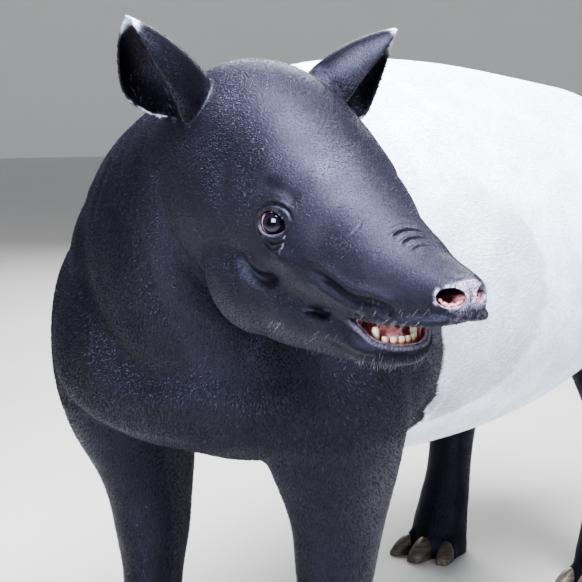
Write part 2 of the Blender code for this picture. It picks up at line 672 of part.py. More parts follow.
def tooth_rings(place, width, height, thick, side):
    """Rings up one tooth, from well inside the gum to its worn edge."""
    half = filled_in(GUM, 60)
    spot = int(place * 59)
    point = Vector((half[spot][0], side * half[spot][1], GUM_TOP))
    ahead = Vector((*(half[spot + 1] - half[spot - 1]), 0)).normalized()
    ahead.y *= side
    across = Vector((-ahead.y, ahead.x, 0))
    rings = []
    for rise, size in ((-0.007, 0.80), (0.25, 1.0), (0.75, 0.85), (1.0, 0.5)):
        up = rise if rise < 0 else rise * height
        wide, deep = oval(width / 2 * size, thick / 2 * size, thick / 2 * size, 2.4, 2.4, 7)
        rings.append([point + ahead * a + across * b + Vector((0, 0, up)) for a, b in zip(wide, deep)])
    return rings


def tongue_rings(grown=0.0):
    rings = []
    for x, top, bottom, half_width in filled_in(TONGUE, 8):
        half_height = (top - bottom) / 2 + grown
        across, up = oval(half_width + grown, half_height, half_height, around=12)
        rings.append([(x, y, (top + bottom) / 2 + z) for y, z in zip(across, up)])
    rings[0] = [(x - grown, y, z) for x, y, z in rings[0]]
    rings[-1] = [(x + grown, y, z) for x, y, z in rings[-1]]
    return rings


def box_from(low, high):
    """A closed box, as an object."""
    bm = bmesh.new()
    middle = [(a + b) / 2 for a, b in zip(low, high)]
    size = Matrix.Diagonal((*[b - a for a, b in zip(low, high)], 1.0))
    bmesh.ops.create_cube(bm, size=1.0, matrix=Matrix.Translation(middle) @ size)
    return linked("box", bm)


def head_nodes():
    """The head, lower jaw, ears, eyes, teeth and tongue."""
    head = thinned(head_flesh(), HEAD_FACES)
    nodes = []
    for name in SIDES:
        way = EAR_WAY[name].normalized()
        ear = parted(head, "ear_" + name, EAR_ROOT[name] + way * EAR_CUT, way)
        nodes.append((ear, "black_coat"))
    largest(combined(head, [head_column()], "INTERSECT"))
    for name, side in SIDES.items():
        combined(head, [eyeball(side, GAP), lid_opening(side)], "DIFFERENCE")
        eye = eyeball(side)
        eye.name = "eye_" + name
        nodes.append((eye, "eye"))
    below_lips = box_from((JAW_BACK, -0.2, -0.4), (0.6, 0.2, LIP_LINE))
    jaw = combined(copied(head, "lower_jaw"), [below_lips], "INTERSECT")
    combined(head, [box_from((JAW_BACK - GAP, -0.2, -0.4), (0.6, 0.2, LIP_LINE + GAP))], "DIFFERENCE")
    seats = [made_of("seat", (gum_rings(GAP), PLAIN)), made_of("seat", (tongue_rings(GAP), PLAIN))]
    combined(jaw, seats, "DIFFERENCE")
    teeth = made_of("lower_teeth", (gum_rings(), PLAIN))
    fused = [
        made_of("tooth", (tooth_rings(*tooth, side), PLAIN)) for tooth in TEETH for side in SIDES.values()
    ]
    combined(teeth, fused, "UNION")
    tongue = made_of("tongue", (tongue_rings(), PLAIN))
    nodes += [(head, "black_coat"), (jaw, "black_coat"), (teeth, "tooth"), (tongue, "mouth")]
    for node, _ in nodes:
        node.data.transform(HEAD)
    return nodes


def leg_cutter(rows, side, margin, top, extra=0.0):
    """A column round a leg with a flat top."""
    rings = sections_down(rows, side, 12, margin + extra, 18)
    rings = [ring for ring in rings if ring[0][2] < top - LEG_CUT_STEP]
    rings.insert(0, [(x, y, top + extra) for x, y, _ in rings[0]])
    return made_of("cutter", (rings, PLAIN))


def tail_cutter(extra):
    return made_of("cutter", (tail_rings(9, TAIL_MARGIN + extra, TAIL_PARTS_AT, extra), PLAIN))


def head_column(grown=0.0):
    """An oval column that starts at the back of the head and runs past the muzzle, in the head's frame."""
    across, up = oval(NECK_CUT_HALF + grown, NECK_CUT_RISE + grown, NECK_CUT_DROP + grown, around=24)
    back = [(NECK_CUT_X - grown + z * NECK_CUT_LEAN, y, z + NECK_CUT_Z) for y, z in zip(across, up)]
    front = [(NECK_CUT_LENGTH, y, z + NECK_CUT_Z) for y, z in zip(across, up)]
    return made_of("column", ([back, front], PLAIN))


def body_nodes():
    """The neck, shoulders, saddle, tail, legs and hooves."""
    body = body_flesh()
    column = head_column(GAP)
    column.data.transform(HEAD)
    combined(body, [column], "DIFFERENCE")
    nodes = []
    for leg, (rows, top, margin) in LEG_PARTS_AT.items():
        foot = leg[:4]
        for name, side in SIDES.items():
            limb = copied(body, leg + "_" + name)
            combined(limb, [leg_cutter(rows, side, margin, top)], "INTERSECT")
            combined(body, [leg_cutter(rows, side, margin, top, LEG_CUT_MARGIN)], "DIFFERENCE")
            for toe, toe_name in zip(FEET[foot][1], TOE_NAMES):
                seat = made_of("seat", (hoof_rings(foot, side, toe, GAP), PLAIN))
                combined(limb, [seat], "DIFFERENCE")
                hoof = made_of("_".join(("hoof", foot, toe_name, name)), (hoof_rings(foot, side, toe), PLAIN))
                nodes.append((hoof, "hoof"))
            nodes.append((limb, "black_coat"))
    tail = combined(copied(body, "tail"), [tail_cutter(0.0)], "INTERSECT")
    combined(body, [tail_cutter(GAP)], "DIFFERENCE")
    neck = parted(body, "neck", SHOULDER_CUT, SHOULDER_CUT_FACES)
    shoulders = parted(body, "shoulders", SADDLE_CUT, SADDLE_CUT_FACES)
    nodes += [(tail, "white_coat"), (neck, "black_coat")]
    nodes += [(shoulders, "black_coat"), (largest(body), "white_coat")]
    return nodes


def main():
    for old in list(bpy.data.objects):
        bpy.data.objects.remove(old)
    for node, finish in body_nodes() + head_nodes():
        node.data.transform(Matrix.Translation(-BOX_MIDDLE))
        finished(node, finish)


main()
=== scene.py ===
import json
import math

import bmesh
import bpy
import numpy as np
from bpy.props import FloatProperty, FloatVectorProperty, IntProperty, PointerProperty
from mathutils import Matrix, Vector
from mathutils.bvhtree import BVHTree

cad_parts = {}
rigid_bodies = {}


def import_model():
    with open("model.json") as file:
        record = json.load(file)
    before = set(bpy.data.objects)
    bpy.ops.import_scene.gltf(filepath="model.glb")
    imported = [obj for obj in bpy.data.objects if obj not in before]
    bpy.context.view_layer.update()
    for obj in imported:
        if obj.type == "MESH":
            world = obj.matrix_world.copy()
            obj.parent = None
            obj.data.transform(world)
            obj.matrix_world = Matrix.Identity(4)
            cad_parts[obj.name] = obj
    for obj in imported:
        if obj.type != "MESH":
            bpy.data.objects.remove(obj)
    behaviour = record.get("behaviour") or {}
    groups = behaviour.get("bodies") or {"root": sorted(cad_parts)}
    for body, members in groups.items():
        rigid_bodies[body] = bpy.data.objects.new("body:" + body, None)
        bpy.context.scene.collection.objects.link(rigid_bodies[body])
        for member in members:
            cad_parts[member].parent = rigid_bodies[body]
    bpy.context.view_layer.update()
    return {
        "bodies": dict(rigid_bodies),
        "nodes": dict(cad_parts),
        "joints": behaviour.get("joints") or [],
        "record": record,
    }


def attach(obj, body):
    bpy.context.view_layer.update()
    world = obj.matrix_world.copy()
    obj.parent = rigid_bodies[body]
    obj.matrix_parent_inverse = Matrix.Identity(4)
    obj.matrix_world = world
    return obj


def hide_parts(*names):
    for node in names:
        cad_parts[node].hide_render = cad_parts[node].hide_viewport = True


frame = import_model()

bl_info = {
    "name": "Tapir figure",
    "version": (1, 0, 0),
    "blender": (4, 5, 0),
    "location": "3D View > Sidebar > Tapir",
    "description": "Builds the skin, coat, eyes, mouth and hooves of a life-size tapir, and its stage",
    "category": "Object",
}

# The animal's frame, before it is moved over the middle of its own box: x to the chest, y to its
# left, z up from the floor. The head has a frame of its own at the poll, x to the nose, z up.
BOX_MIDDLE = Vector((-0.0253, 0.1504, 0.0))
POLL = Vector((0.560, 0.198, 0.965))
HEAD_TURN, HEAD_LIFT, HEAD_LEAN = math.radians(64), math.radians(0.5), math.radians(2)
SIDES = {"left": 1, "right": -1}
AROUND = 48
GAP = 0.0003
BODY_COAT, HEAD_COAT = 0.0015, 0.0006       # how far the skin lies under the solids, for the coat to fill
NECK_FLARE = (-0.008, 0.003)                # the head's stub of neck crosses the body's between these
# A nostril's pit, from outside in: along its axis, size, how far back
NOSTRIL_PIT = ((0.012, 1.10, 0.0), (0.0015, 0.93, 0.0), (-0.010, 0.82, 0.003), (-0.022, 0.64, 0.008), (-0.032, 0.28, 0.013))
EAR_SIDE = {"left": 1, "right": -1}
SADDLE_START = (0.203, 0.0, 0.530)
SADDLE_FACES = Vector((1.0, 0.0, -0.20))
WAVE_SEED = 20
FLESH = ("head", "lower_jaw", "ear_left", "ear_right", "neck", "shoulders", "trunk", "tail",
         "foreleg_left", "foreleg_right", "hindleg_left", "hindleg_right")
CROWN = ((-0.007, 0.66), (0.0, 0.74), (0.35, 0.92), (0.75, 0.95), (0.93, 0.78), (1.0, 0.45))  # rise, size
FLAP_ARC, FLAP_SIZE, FLAP_DEPTH = (-172, -12), 0.78, -0.0038
FLAP_THICK, FLAP_WAVE = 0.0024, 0.0013
TEAR = ((0.222, 0.089, -0.133), (0.220, 0.091, -0.141), (0.218, 0.093, -0.149))  # pale streak
COVER = 2.2                                 # how many hairs lie over each spot of skin
HAIR_WIDTH = {"face": 0.0006, "head": 0.0008, "ears": 0.0007, "body": 0.0010, "legs": 0.0009}
PATCH = 0.003                               # size of one hair's place on the skin's map
WINDOW = (-1.26, 0.375, -0.40)             # a lamp that the near eye mirrors, in the camera's frame
# The floor runs level, then curves up to a wall all round: radius, height
FLOOR = ((9.0, 0.0), (12.0, 0.25), (15.0, 1.1), (17.5, 2.8), (19.0, 5.2), (19.8, 8.5), (20.0, 14.0))
# Trunk sections: x, top, bottom, half width, height of the widest point, squareness above and below
TRUNK = (
    (-0.800, 0.760, 0.620, 0.070, 0.700, 2.0, 2.0),
    (-0.770, 0.825, 0.545, 0.150, 0.700, 2.0, 2.0),
    (-0.690, 0.890, 0.470, 0.225, 0.685, 2.0, 2.0),
    (-0.550, 0.935, 0.425, 0.272, 0.670, 2.0, 2.1),
    (-0.380, 0.962, 0.392, 0.302, 0.655, 2.0, 2.2),
    (-0.160, 0.990, 0.375, 0.320, 0.645, 2.0, 2.2),
    (0.050, 1.002, 0.380, 0.306, 0.645, 2.0, 2.2),
    (0.200, 0.992, 0.405, 0.280, 0.635, 1.9, 2.2),
    (0.330, 0.960, 0.435, 0.264, 0.610, 1.8, 2.3),
    (0.430, 0.885, 0.455, 0.250, 0.595, 1.8, 2.4),
    (0.515, 0.780, 0.490, 0.200, 0.600, 1.9, 2.4),
    (0.556, 0.700, 0.550, 0.110, 0.620, 2.0, 2.0),
)
# Neck sections from the withers to the poll: share of the way, half width, rise, drop
NECK = (
    (0.00, 0.222, 0.205, 0.265),
    (0.30, 0.206, 0.184, 0.260),
    (0.60, 0.174, 0.158, 0.232),
    (0.85, 0.135, 0.140, 0.190),
    (1.00, 0.115, 0.132, 0.160),
)
NECK_ROOT = Vector((0.255, -0.010, 0.712))
NECK_LEAVES = Vector((1.0, -0.15, 0.20))    # the way the neck leaves the trunk
NECK_REACH = 0.38                           # how far each end keeps its own direction
NECK_END = Vector((-0.055, 0.0, -0.100))    # in the head's frame
# Muscle that fills the outer bend of the neck, from the shoulder's point up: centre, radii, the way it runs
NECK_MUSCLE = ((0.427, -0.112, 0.740), (0.135, 0.084, 0.112), (0.27, 0.33, 0.91))
# Upper head, in the head's own frame: x forward, top, bottom, half width, height of the widest, squareness
SKULL = (
    (-0.130, 0.020, -0.200, 0.100, -0.090, 2.0, 2.0),
    (-0.080, 0.046, -0.225, 0.115, -0.090, 2.0, 2.0),
    (-0.010, 0.057, -0.240, 0.114, -0.100, 2.1, 2.0),
    (0.060, 0.046, -0.245, 0.109, -0.110, 2.2, 2.0),
    (0.130, 0.014, -0.240, 0.103, -0.118, 2.2, 2.0),
    (0.200, -0.030, -0.232, 0.094, -0.135, 2.1, 2.2),
    (0.260, -0.074, -0.222, 0.082, -0.165, 2.0, 2.6),
    (0.320, -0.110, -0.2185, 0.069, -0.186, 1.9, 3.0),
    (0.375, -0.136, -0.2135, 0.055, -0.186, 1.9, 3.0),
    (0.415, -0.148, -0.2095, 0.043, -0.182, 2.0, 2.8),
    (0.438, -0.155, -0.2065, 0.035, -0.180, 2.2, 2.6),
    (0.452, -0.158, -0.2040, 0.026, -0.180, 2.2, 2.4),
    (0.461, -0.164, -0.1990, 0.010, -0.180, 2.2, 2.2),
)
JAW = (
    (-0.030, -0.100, -0.225, 0.060, -0.180, 2.0, 2.0),
    (0.020, -0.120, -0.272, 0.090, -0.200, 2.0, 2.0),
    (0.100, -0.130, -0.288, 0.090, -0.210, 2.0, 2.0),
    (0.180, -0.160, -0.286, 0.080, -0.225, 2.0, 2.0),
    (0.250, -0.195, -0.282, 0.064, -0.236, 2.4, 2.0),
    (0.285, -0.208, -0.280, 0.057, -0.243, 2.6, 2.0),
    (0.308, -0.226, -0.278, 0.051, -0.252, 2.6, 2.0),
    (0.324, -0.240, -0.276, 0.041, -0.258, 2.6, 2.0),
    (0.338, -0.248, -0.273, 0.027, -0.261, 2.4, 2.0),
    (0.347, -0.254, -0.267, 0.012, -0.261, 2.0, 2.0),
)
# Masses laid on both sides of the head: centre, radii, the way the long one points
MASSES = (
    ((0.070, 0.060, -0.190), (0.105, 0.043, 0.078), (1.0, 0.0, -0.30)),
    ((0.155, 0.066, -0.094), (0.075, 0.030, 0.034), (1.0, 0.0, -0.45)),
    ((0.205, 0.064, -0.150), (0.052, 0.032, 0.022), (1.0, 0.0, -0.45)),
)
# Edges of the lips, drawn as round tubes from the front back along the right side, then mirrored
UPPER_LIP = ((0.455, 0.0, -0.200), (0.449, 0.020, -0.201), (0.428, 0.035, -0.204), (0.390, 0.046, -0.208),
             (0.345, 0.053, -0.212), (0.300, 0.058, -0.214), (0.262, 0.061, -0.214))
UPPER_LIP_THICK = 0.0060
LOWER_LIP = ((0.3430, 0.0, -0.2520), (0.3395, 0.014, -0.2515), (0.3300, 0.027, -0.2490),
             (0.3180, 0.037, -0.2435), (0.3080, 0.044, -0.2325), (0.2900, 0.050, -0.2230))
LOWER_LIP_THICK = 0.0048
# The hollow of the mouth, carved from both: x, top, bottom, half width, height of the widest, squareness
MOUTH = (
    (0.225, -0.222, -0.232, 0.016, -0.228, 2.0, 2.0),
    (0.250, -0.214, -0.252, 0.035, -0.232, 2.4, 2.4),
    (0.285, -0.209, -0.262, 0.044, -0.234, 2.8, 2.8),
    (0.312, -0.208, -0.265, 0.0385, -0.236, 2.8, 2.8),
    (0.328, -0.210, -0.264, 0.0265, -0.240, 2.6, 2.6),
    (0.339, -0.218, -0.258, 0.012, -0.242, 2.0, 2.0),
)
# Sections down a leg: height, x, distance from the middle, half length, half width
FORELEG = (
    (0.880, 0.270, 0.090, 0.070, 0.060),
    (0.830, 0.295, 0.125, 0.120, 0.085),
    (0.710, 0.352, 0.160, 0.150, 0.102),
    (0.580, 0.372, 0.180, 0.132, 0.100),
    (0.470, 0.360, 0.184, 0.112, 0.090),
    (0.370, 0.338, 0.176, 0.079, 0.068),
    (0.290, 0.335, 0.170, 0.061, 0.057),
    (0.200, 0.338, 0.168, 0.048, 0.046),
    (0.120, 0.342, 0.170, 0.048, 0.050),
    (0.060, 0.350, 0.170, 0.053, 0.057),
    (-0.010, 0.354, 0.170, 0.055, 0.060),
)
HINDLEG = (
    (0.860, -0.500, 0.070, 0.090, 0.060),
    (0.810, -0.520, 0.115, 0.150, 0.095),
    (0.700, -0.545, 0.155, 0.185, 0.118),
    (0.585, -0.540, 0.172, 0.165, 0.106),
    (0.490, -0.535, 0.178, 0.125, 0.086),
    (0.400, -0.570, 0.176, 0.083, 0.063),
    (0.310, -0.612, 0.174, 0.064, 0.052),
    (0.210, -0.604, 0.174, 0.048, 0.044),
    (0.120, -0.588, 0.176, 0.048, 0.048),
    (0.060, -0.572, 0.178, 0.053, 0.056),
    (-0.010, -0.566, 0.178, 0.055, 0.058),
)
# Toes of a left foot: root forward and outward of the leg, way out in degrees, hoof length, width, height
FORE_TOES = (
    (0.022, -0.036, -14, 0.046, 0.033, 0.038),
    (0.034, 0.002, 3, 0.050, 0.039, 0.042),
    (0.020, 0.040, 22, 0.046, 0.033, 0.038),
    (-0.024, 0.044, 66, 0.032, 0.024, 0.028),
)
HIND_TOES = (
    (0.022, -0.037, -16, 0.046, 0.034, 0.038),
    (0.034, 0.000, 0, 0.050, 0.041, 0.042),
    (0.022, 0.037, 16, 0.046, 0.034, 0.038),
)
TOE_NAMES = ("inner", "middle", "outer", "side")
FEET = {"fore": (Vector((0.354, 0.170, 0.0)), FORE_TOES), "hind": (Vector((-0.566, 0.178, 0.0)), HIND_TOES)}
HOOF_STARTS = 0.020                         # along the toe from its root
HOOF_SET_IN = 0.010                         # how far the toe's skin covers the hoof's back
TAIL_ROOT = Vector((-0.755, 0.0, 0.800))
TAIL_WAY = Vector((-0.62, 0.0, -0.78))
# Tail: share of the length, half thickness
TAIL = ((0.0, 0.034), (0.3, 0.030), (0.6, 0.023), (0.88, 0.014), (1.0, 0.006))
TAIL_LENGTH = 0.150
EYE = Vector((0.188, 0.0757, -0.1212))       # middle of the left eyeball, in the head's frame
EYE_RADIUS = 0.0215
EYE_LOOKS = Vector((0.54, 0.84, 0.08))      # the way the left eye faces
EYE_CORNER = Vector((0.84, -0.54, -0.16))   # the way to its front corner
LID_LONG, LID_HIGH, LID_THICK = 0.0192, 0.0132, 0.0046
NOSTRIL = Vector((0.4475, 0.0170, -0.1780))
NOSTRIL_FACES = Vector((0.81, 0.58, 0.06))
NOSTRIL_LONG, NOSTRIL_HIGH, NOSTRIL_RIM = 0.0163, 0.0108, 0.0038
EAR_ROOT = {"left": Vector((0.014, 0.082, 0.004)), "right": Vector((-0.012, -0.082, 0.004))}
EAR_WAY = {"left": Vector((0.06, 0.88, 0.43)), "right": Vector((0.06, -0.735, 0.68))}
EAR_OPENS = {"left": Vector((0.44, 0.54, -0.71)), "right": Vector((-0.12, -0.68, -0.70))}
EAR_LENGTH = 0.141
EAR_WALL = 0.0062
# Ear: share of the length, half widths in front and behind, angles that each half wraps, how far the rear
# half reaches round the cup, depth of its back
EAR = (
    (-0.22, 0.027, 0.027, 150, 150, 0.027, 0.027),
    (0.00, 0.033, 0.034, 150, 148, 0.034, 0.033),
    (0.18, 0.039, 0.050, 126, 132, 0.050, 0.038),
    (0.42, 0.040, 0.060, 108, 118, 0.058, 0.040),
    (0.68, 0.034, 0.048, 94, 108, 0.044, 0.036),
    (0.88, 0.022, 0.028, 72, 90, 0.026, 0.029),
    (1.00, 0.006, 0.006, 50, 60, 0.007, 0.024),
)
# Lower teeth, from the middle out: place along the gum's arch, width, height, thickness
TEETH = ((0.10, 0.0092, 0.0085, 0.0062), (0.30, 0.0094, 0.0085, 0.0062), (0.50, 0.0094, 0.0085, 0.0062),
         (0.71, 0.0120, 0.0180, 0.0095))
# Gum arch along the left side: x, y; its top and bottom, half width
GUM = ((0.3310, 0.000), (0.3275, 0.011), (0.3190, 0.020), (0.3050, 0.026), (0.2830, 0.029))
GUM_TOP, GUM_BOTTOM, GUM_HALF = -0.2485, -0.2670, 0.0052
# Tongue: x, top, bottom, half width
TONGUE = (
    (0.238, -0.244, -0.2600, 0.014),
    (0.256, -0.236, -0.2640, 0.019),
    (0.284, -0.232, -0.2660, 0.0205),
    (0.306, -0.235, -0.2660, 0.017),
    (0.321, -0.243, -0.2620, 0.009),
)
# Swellings and hollows of the body: centre, radii, height; each is made on both sides
BODY_SWELLS = (
    ((0.345, 0.235, 0.800), (0.060, 0.090, 0.130), 0.010),      # shoulder blade
    ((0.300, 0.250, 0.640), (0.075, 0.080, 0.090), 0.009),      # upper foreleg
    ((0.265, 0.240, 0.520), (0.045, 0.060, 0.040), 0.007),      # point of the elbow
    ((0.395, 0.200, 0.600), (0.050, 0.080, 0.080), 0.006),
    ((0.400, 0.060, 0.520), (0.080, 0.050, 0.110), 0.007),      # breast
    ((-0.500, 0.240, 0.700), (0.130, 0.090, 0.120), 0.010),     # haunch
    ((-0.430, 0.230, 0.560), (0.070, 0.080, 0.080), 0.008),     # stifle
    ((-0.640, 0.150, 0.720), (0.070, 0.110, 0.110), 0.007),
    ((-0.340, 0.270, 0.640), (0.060, 0.070, 0.110), -0.009),    # flank
    ((0.180, 0.270, 0.560), (0.050, 0.070, 0.110), -0.006),     # behind the elbow
    ((-0.570, 0.100, 0.930), (0.060, 0.050, 0.040), 0.006),     # hip
    ((0.338, 0.170, 0.285), (0.045, 0.060, 0.038), 0.004),      # knee
    ((0.342, 0.170, 0.115), (0.045, 0.060, 0.022), 0.003),      # fetlock
    ((-0.640, 0.174, 0.320), (0.030, 0.060, 0.035), 0.005),     # hock
    ((-0.588, 0.174, 0.115), (0.045, 0.060, 0.022), 0.003),
)
# Folds of the body's skin: path, width, depth, lip; made on both sides
BODY_FOLDS = (
    (((0.205, 0.215, 0.600), (0.195, 0.235, 0.530), (0.215, 0.230, 0.470), (0.250, 0.200, 0.440)), 0.010, 0.007, 0.004),
    (((0.180, 0.230, 0.560), (0.165, 0.240, 0.500), (0.185, 0.225, 0.440)), 0.008, 0.003, 0.002),
    (((0.430, 0.115, 0.545), (0.445, 0.085, 0.600), (0.460, 0.060, 0.660)), 0.010, 0.005, 0.003),
    (((-0.400, 0.250, 0.480), (-0.370, 0.240, 0.530), (-0.355, 0.235, 0.600), (-0.360, 0.230, 0.660)), 0.012, 0.006, 0.004),
    (((-0.700, 0.100, 0.560), (-0.675, 0.120, 0.620), (-0.690, 0.105, 0.690)), 0.012, 0.005, 0.003),
    (((0.305, 0.190, 0.262), (0.340, 0.235, 0.258), (0.372, 0.190, 0.262)), 0.004, 0.0018, 0.001),
    (((0.305, 0.190, 0.310), (0.340, 0.238, 0.306), (0.378, 0.190, 0.312)), 0.004, 0.0018, 0.001),
    (((0.300, 0.170, 0.098), (0.342, 0.225, 0.095), (0.388, 0.170, 0.098)), 0.0035, 0.0016, 0.001),
    (((-0.635, 0.175, 0.098), (-0.588, 0.228, 0.095), (-0.540, 0.175, 0.098)), 0.0035, 0.0016, 0.001),
    (((-0.560, 0.140, 0.330), (-0.552, 0.190, 0.335), (-0.590, 0.225, 0.335)), 0.005, 0.002, 0.001),
)
# Folds of the neck, on the side that the head turns away from and on the side it turns to
NECK_FOLDS = (
    (((0.500, -0.030, 0.985), (0.520, -0.075, 0.930), (0.515, -0.110, 0.860), (0.490, -0.130, 0.790)), 0.010, 0.0025, 0.0015),
    (((0.545, 0.010, 0.975), (0.575, -0.025, 0.910), (0.575, -0.055, 0.840), (0.555, -0.080, 0.760)), 0.009, 0.0022, 0.0015),
    (((0.350, 0.120, 0.960), (0.395, 0.205, 0.900), (0.440, 0.250, 0.820), (0.480, 0.240, 0.740)), 0.008, 0.009, 0.005),
    (((0.310, 0.150, 0.940), (0.345, 0.235, 0.870), (0.385, 0.275, 0.790)), 0.009, 0.006, 0.004),
    (((0.400, 0.130, 0.985), (0.445, 0.215, 0.920), (0.495, 0.255, 0.840), (0.530, 0.240, 0.760)), 0.007, 0.006, 0.003),
)
# Hollows and swellings of the head, in its own frame: centre, radii, height
HEAD_SWELLS = (
    ((0.150, 0.075, -0.072), (0.020, 0.030, 0.014), -0.0055),   # over the eye
    ((0.186, 0.070, -0.090), (0.022, 0.020, 0.010), 0.0030),    # brow
    ((0.215, 0.060, -0.088), (0.018, 0.020, 0.016), -0.0040),
    ((0.095, 0.095, -0.075), (0.022, 0.040, 0.050), -0.0050),   # temple
    ((0.060, 0.085, -0.010), (0.040, 0.050, 0.030), 0.0030),
    ((0.205, 0.076, -0.160), (0.028, 0.020, 0.010), 0.0045),    # bag under the eye
    ((0.180, 0.080, -0.184), (0.024, 0.022, 0.009), -0.0040),
    ((0.270, 0.062, -0.130), (0.022, 0.030, 0.020), -0.0035),
    ((0.325, 0.050, -0.150), (0.030, 0.030, 0.020), 0.0030),
    ((0.330, 0.055, -0.185), (0.040, 0.020, 0.010), 0.0030),    # above the lip's groove
    ((0.100, 0.100, -0.210), (0.060, 0.040, 0.040), 0.0040),    # cheek
    ((0.000, 0.110, -0.190), (0.035, 0.040, 0.060), -0.0060),   # behind the jaw
    ((0.425, 0.000, -0.148), (0.030, 0.012, 0.020), -0.0020),
    ((0.453, 0.000, -0.185), (0.014, 0.006, 0.020), -0.0030),   # between the nostrils
    ((0.425, 0.000, -0.214), (0.026, 0.040, 0.010), 0.0035),    # under the tip of the snout
    ((0.466, 0.000, -0.212), (0.010, 0.030, 0.010), -0.0045),
)
# Grooves of the head: path, width, depth, lip; made on both sides
HEAD_GROOVES = (
    (((0.248, 0.084, -0.159), (0.277, 0.078, -0.171), (0.296, 0.074, -0.178), (0.319, 0.069, -0.187), (0.336, 0.064, -0.191),
      (0.358, 0.059, -0.192), (0.379, 0.052, -0.197), (0.389, 0.049, -0.200)), 0.0060, 0.0072, 0.0030),
    (((0.127, 0.098, -0.152), (0.132, 0.094, -0.173), (0.141, 0.090, -0.183), (0.153, 0.086, -0.190),
      (0.169, 0.082, -0.191), (0.192, 0.083, -0.186)), 0.0075, 0.0062, 0.0028),
    (((0.345, 0.052, -0.2178), (0.325, 0.057, -0.2180), (0.300, 0.061, -0.2180), (0.275, 0.063, -0.2182),
      (0.250, 0.063, -0.2188), (0.232, 0.066, -0.2182), (0.218, 0.069, -0.2180)), 0.0048, 0.0062, 0.0010),
    (((0.303, 0.051, -0.126), (0.305, 0.042, -0.118), (0.304, 0.035, -0.112)), 0.0014, 0.0016, 0.0005),
    (((0.165, 0.088, -0.076), (0.190, 0.083, -0.077), (0.214, 0.077, -0.086), (0.230, 0.073, -0.098)), 0.0080, 0.0022, 0.0),
    (((0.345, 0.046, -0.270), (0.320, 0.056, -0.268), (0.290, 0.064, -0.262), (0.250, 0.070, -0.250)), 0.0045, 0.0020, 0.0010),
)
# Wrinkles across the top of the snout: how far along it, half width, depth
SNOUT_WRINKLES = (
    (0.340, 0.024, 0.0030), (0.355, 0.021, 0.0028), (0.370, 0.018, 0.0022), (0.326, 0.020, 0.0010), (0.384, 0.014, 0.0009)
)
# Folds round the eye: start and end angle round the lids, how far out, width, depth
LID_FOLDS = (
    ((10, 175), 1.75, 0.0020, 0.0022),
    ((-165, -20), 1.70, 0.0020, 0.0014),
    ((-150, -40), 2.15, 0.0022, 0.0010),
    ((-25, 10), 1.45, 0.0012, 0.0014),
)


def head_frame():
    """The matrix that carries the head's own frame, with its origin at the poll, into the animal's."""
    turn = Matrix.Rotation(HEAD_TURN, 4, "Z")
    lift = Matrix.Rotation(-HEAD_LIFT, 4, "Y")
    lean = Matrix.Rotation(HEAD_LEAN, 4, "X")
    return Matrix.Translation(POLL) @ turn @ lift @ lean


HEAD = head_frame()
PLAIN = Matrix.Identity(4)


def mirrored(vector, side):
    return Vector((vector[0], side * vector[1], vector[2]))


def placed(origin, ahead, up=(0, 0, 1)):
    """A matrix whose x axis runs ahead from origin, with z as near to up as it can be."""
    x = Vector(ahead).normalized()
    y = Vector(up).cross(x).normalized()
    return Matrix.Translation(origin) @ Matrix((x, y, x.cross(y))).transposed().to_4x4()


def filled_in(rows, count):
    """The rows of a few sections, filled in along a smooth curve to count rows."""
    rows = np.array(rows, float)
    slope = np.gradient(rows, axis=0)
    want = np.linspace(0, len(rows) - 1, count)
    low = np.minimum(want.astype(int), len(rows) - 2)
    t = (want - low)[:, None]
    start = (2 * t**3 - 3 * t**2 + 1) * rows[low] + (t**3 - 2 * t**2 + t) * slope[low]
    end = (3 * t**2 - 2 * t**3) * rows[low + 1] + (t**3 - t**2) * slope[low + 1]
    return start + end


def oval(half_width, rise, drop, above=2.0, below=2.0, around=AROUND):
    """Points (across, up) round an oval section, whose top and bottom halves differ."""
    angle = np.linspace(0, 2 * np.pi, around, endpoint=False)
    power = np.where(np.sin(angle) > 0, 2 / above, 2 / below)
    across = np.sign(np.cos(angle)) * np.abs(np.cos(angle)) ** power * half_width
    up = np.sign(np.sin(angle)) * np.abs(np.sin(angle)) ** power
    return across, np.where(up > 0, up * rise, up * drop)


def loft(bm, rings, matrix=PLAIN, ends=True):
    """Adds a closed tube through rings of points to bm, or a ring-shaped one if it has no ends."""
    rows = [[bm.verts.new(matrix @ Vector(p)) for p in ring] for ring in rings]
    count = len(rows[0])
    pairs = list(zip(rows, rows[1:]))
    faces = []
    if ends:
        faces += [bm.faces.new(rows[0][::-1]), bm.faces.new(rows[-1])]
    else:
        pairs.append((rows[-1], rows[0]))
    for first, second in pairs:
        for i in range(count):
            j = (i + 1) % count
            faces.append(bm.faces.new((first[i], first[j], second[j], second[i])))
    bmesh.ops.recalc_face_normals(bm, faces=faces)


def ball(bm, matrix, radii, segments=24, rings=16):
    """Adds an ellipsoid to bm."""
    size = Matrix.Diagonal((*radii, 1.0))
    made = bmesh.ops.create_uvsphere(
        bm, u_segments=segments, v_segments=rings, radius=1.0, matrix=matrix @ size
    )
    bmesh.ops.recalc_face_normals(bm, faces=list({f for v in made["verts"] for f in v.link_faces}))


def tube_rings(points, thickness, around=8, closed=False):
    """Rings round a path of points; thickness is one radius or one for each point."""
    count = len(points)
    thick = np.broadcast_to(thickness, count)
    rings = []
    for i, point in enumerate(points):
        after = points[(i + 1) % count] if closed else points[min(i + 1, count - 1)]
        before = points[i - 1] if closed else points[max(i - 1, 0)]
        ahead = (after - before).normalized()
        side = ahead.cross(Vector((0.02, 0.01, 1))).normalized()
        up = side.cross(ahead)
        angles = [2 * math.pi * k / around for k in range(around)]
        rings.append([point + (math.cos(a) * side + math.sin(a) * up) * float(thick[i]) for a in angles])
    return rings


def both_sides(points):
    """A path drawn from the middle down the left side, made whole with its mirror image."""
    right = [Vector((x, -y, z)) for x, y, z in points[:0:-1]]
    return right + [Vector(p) for p in points]


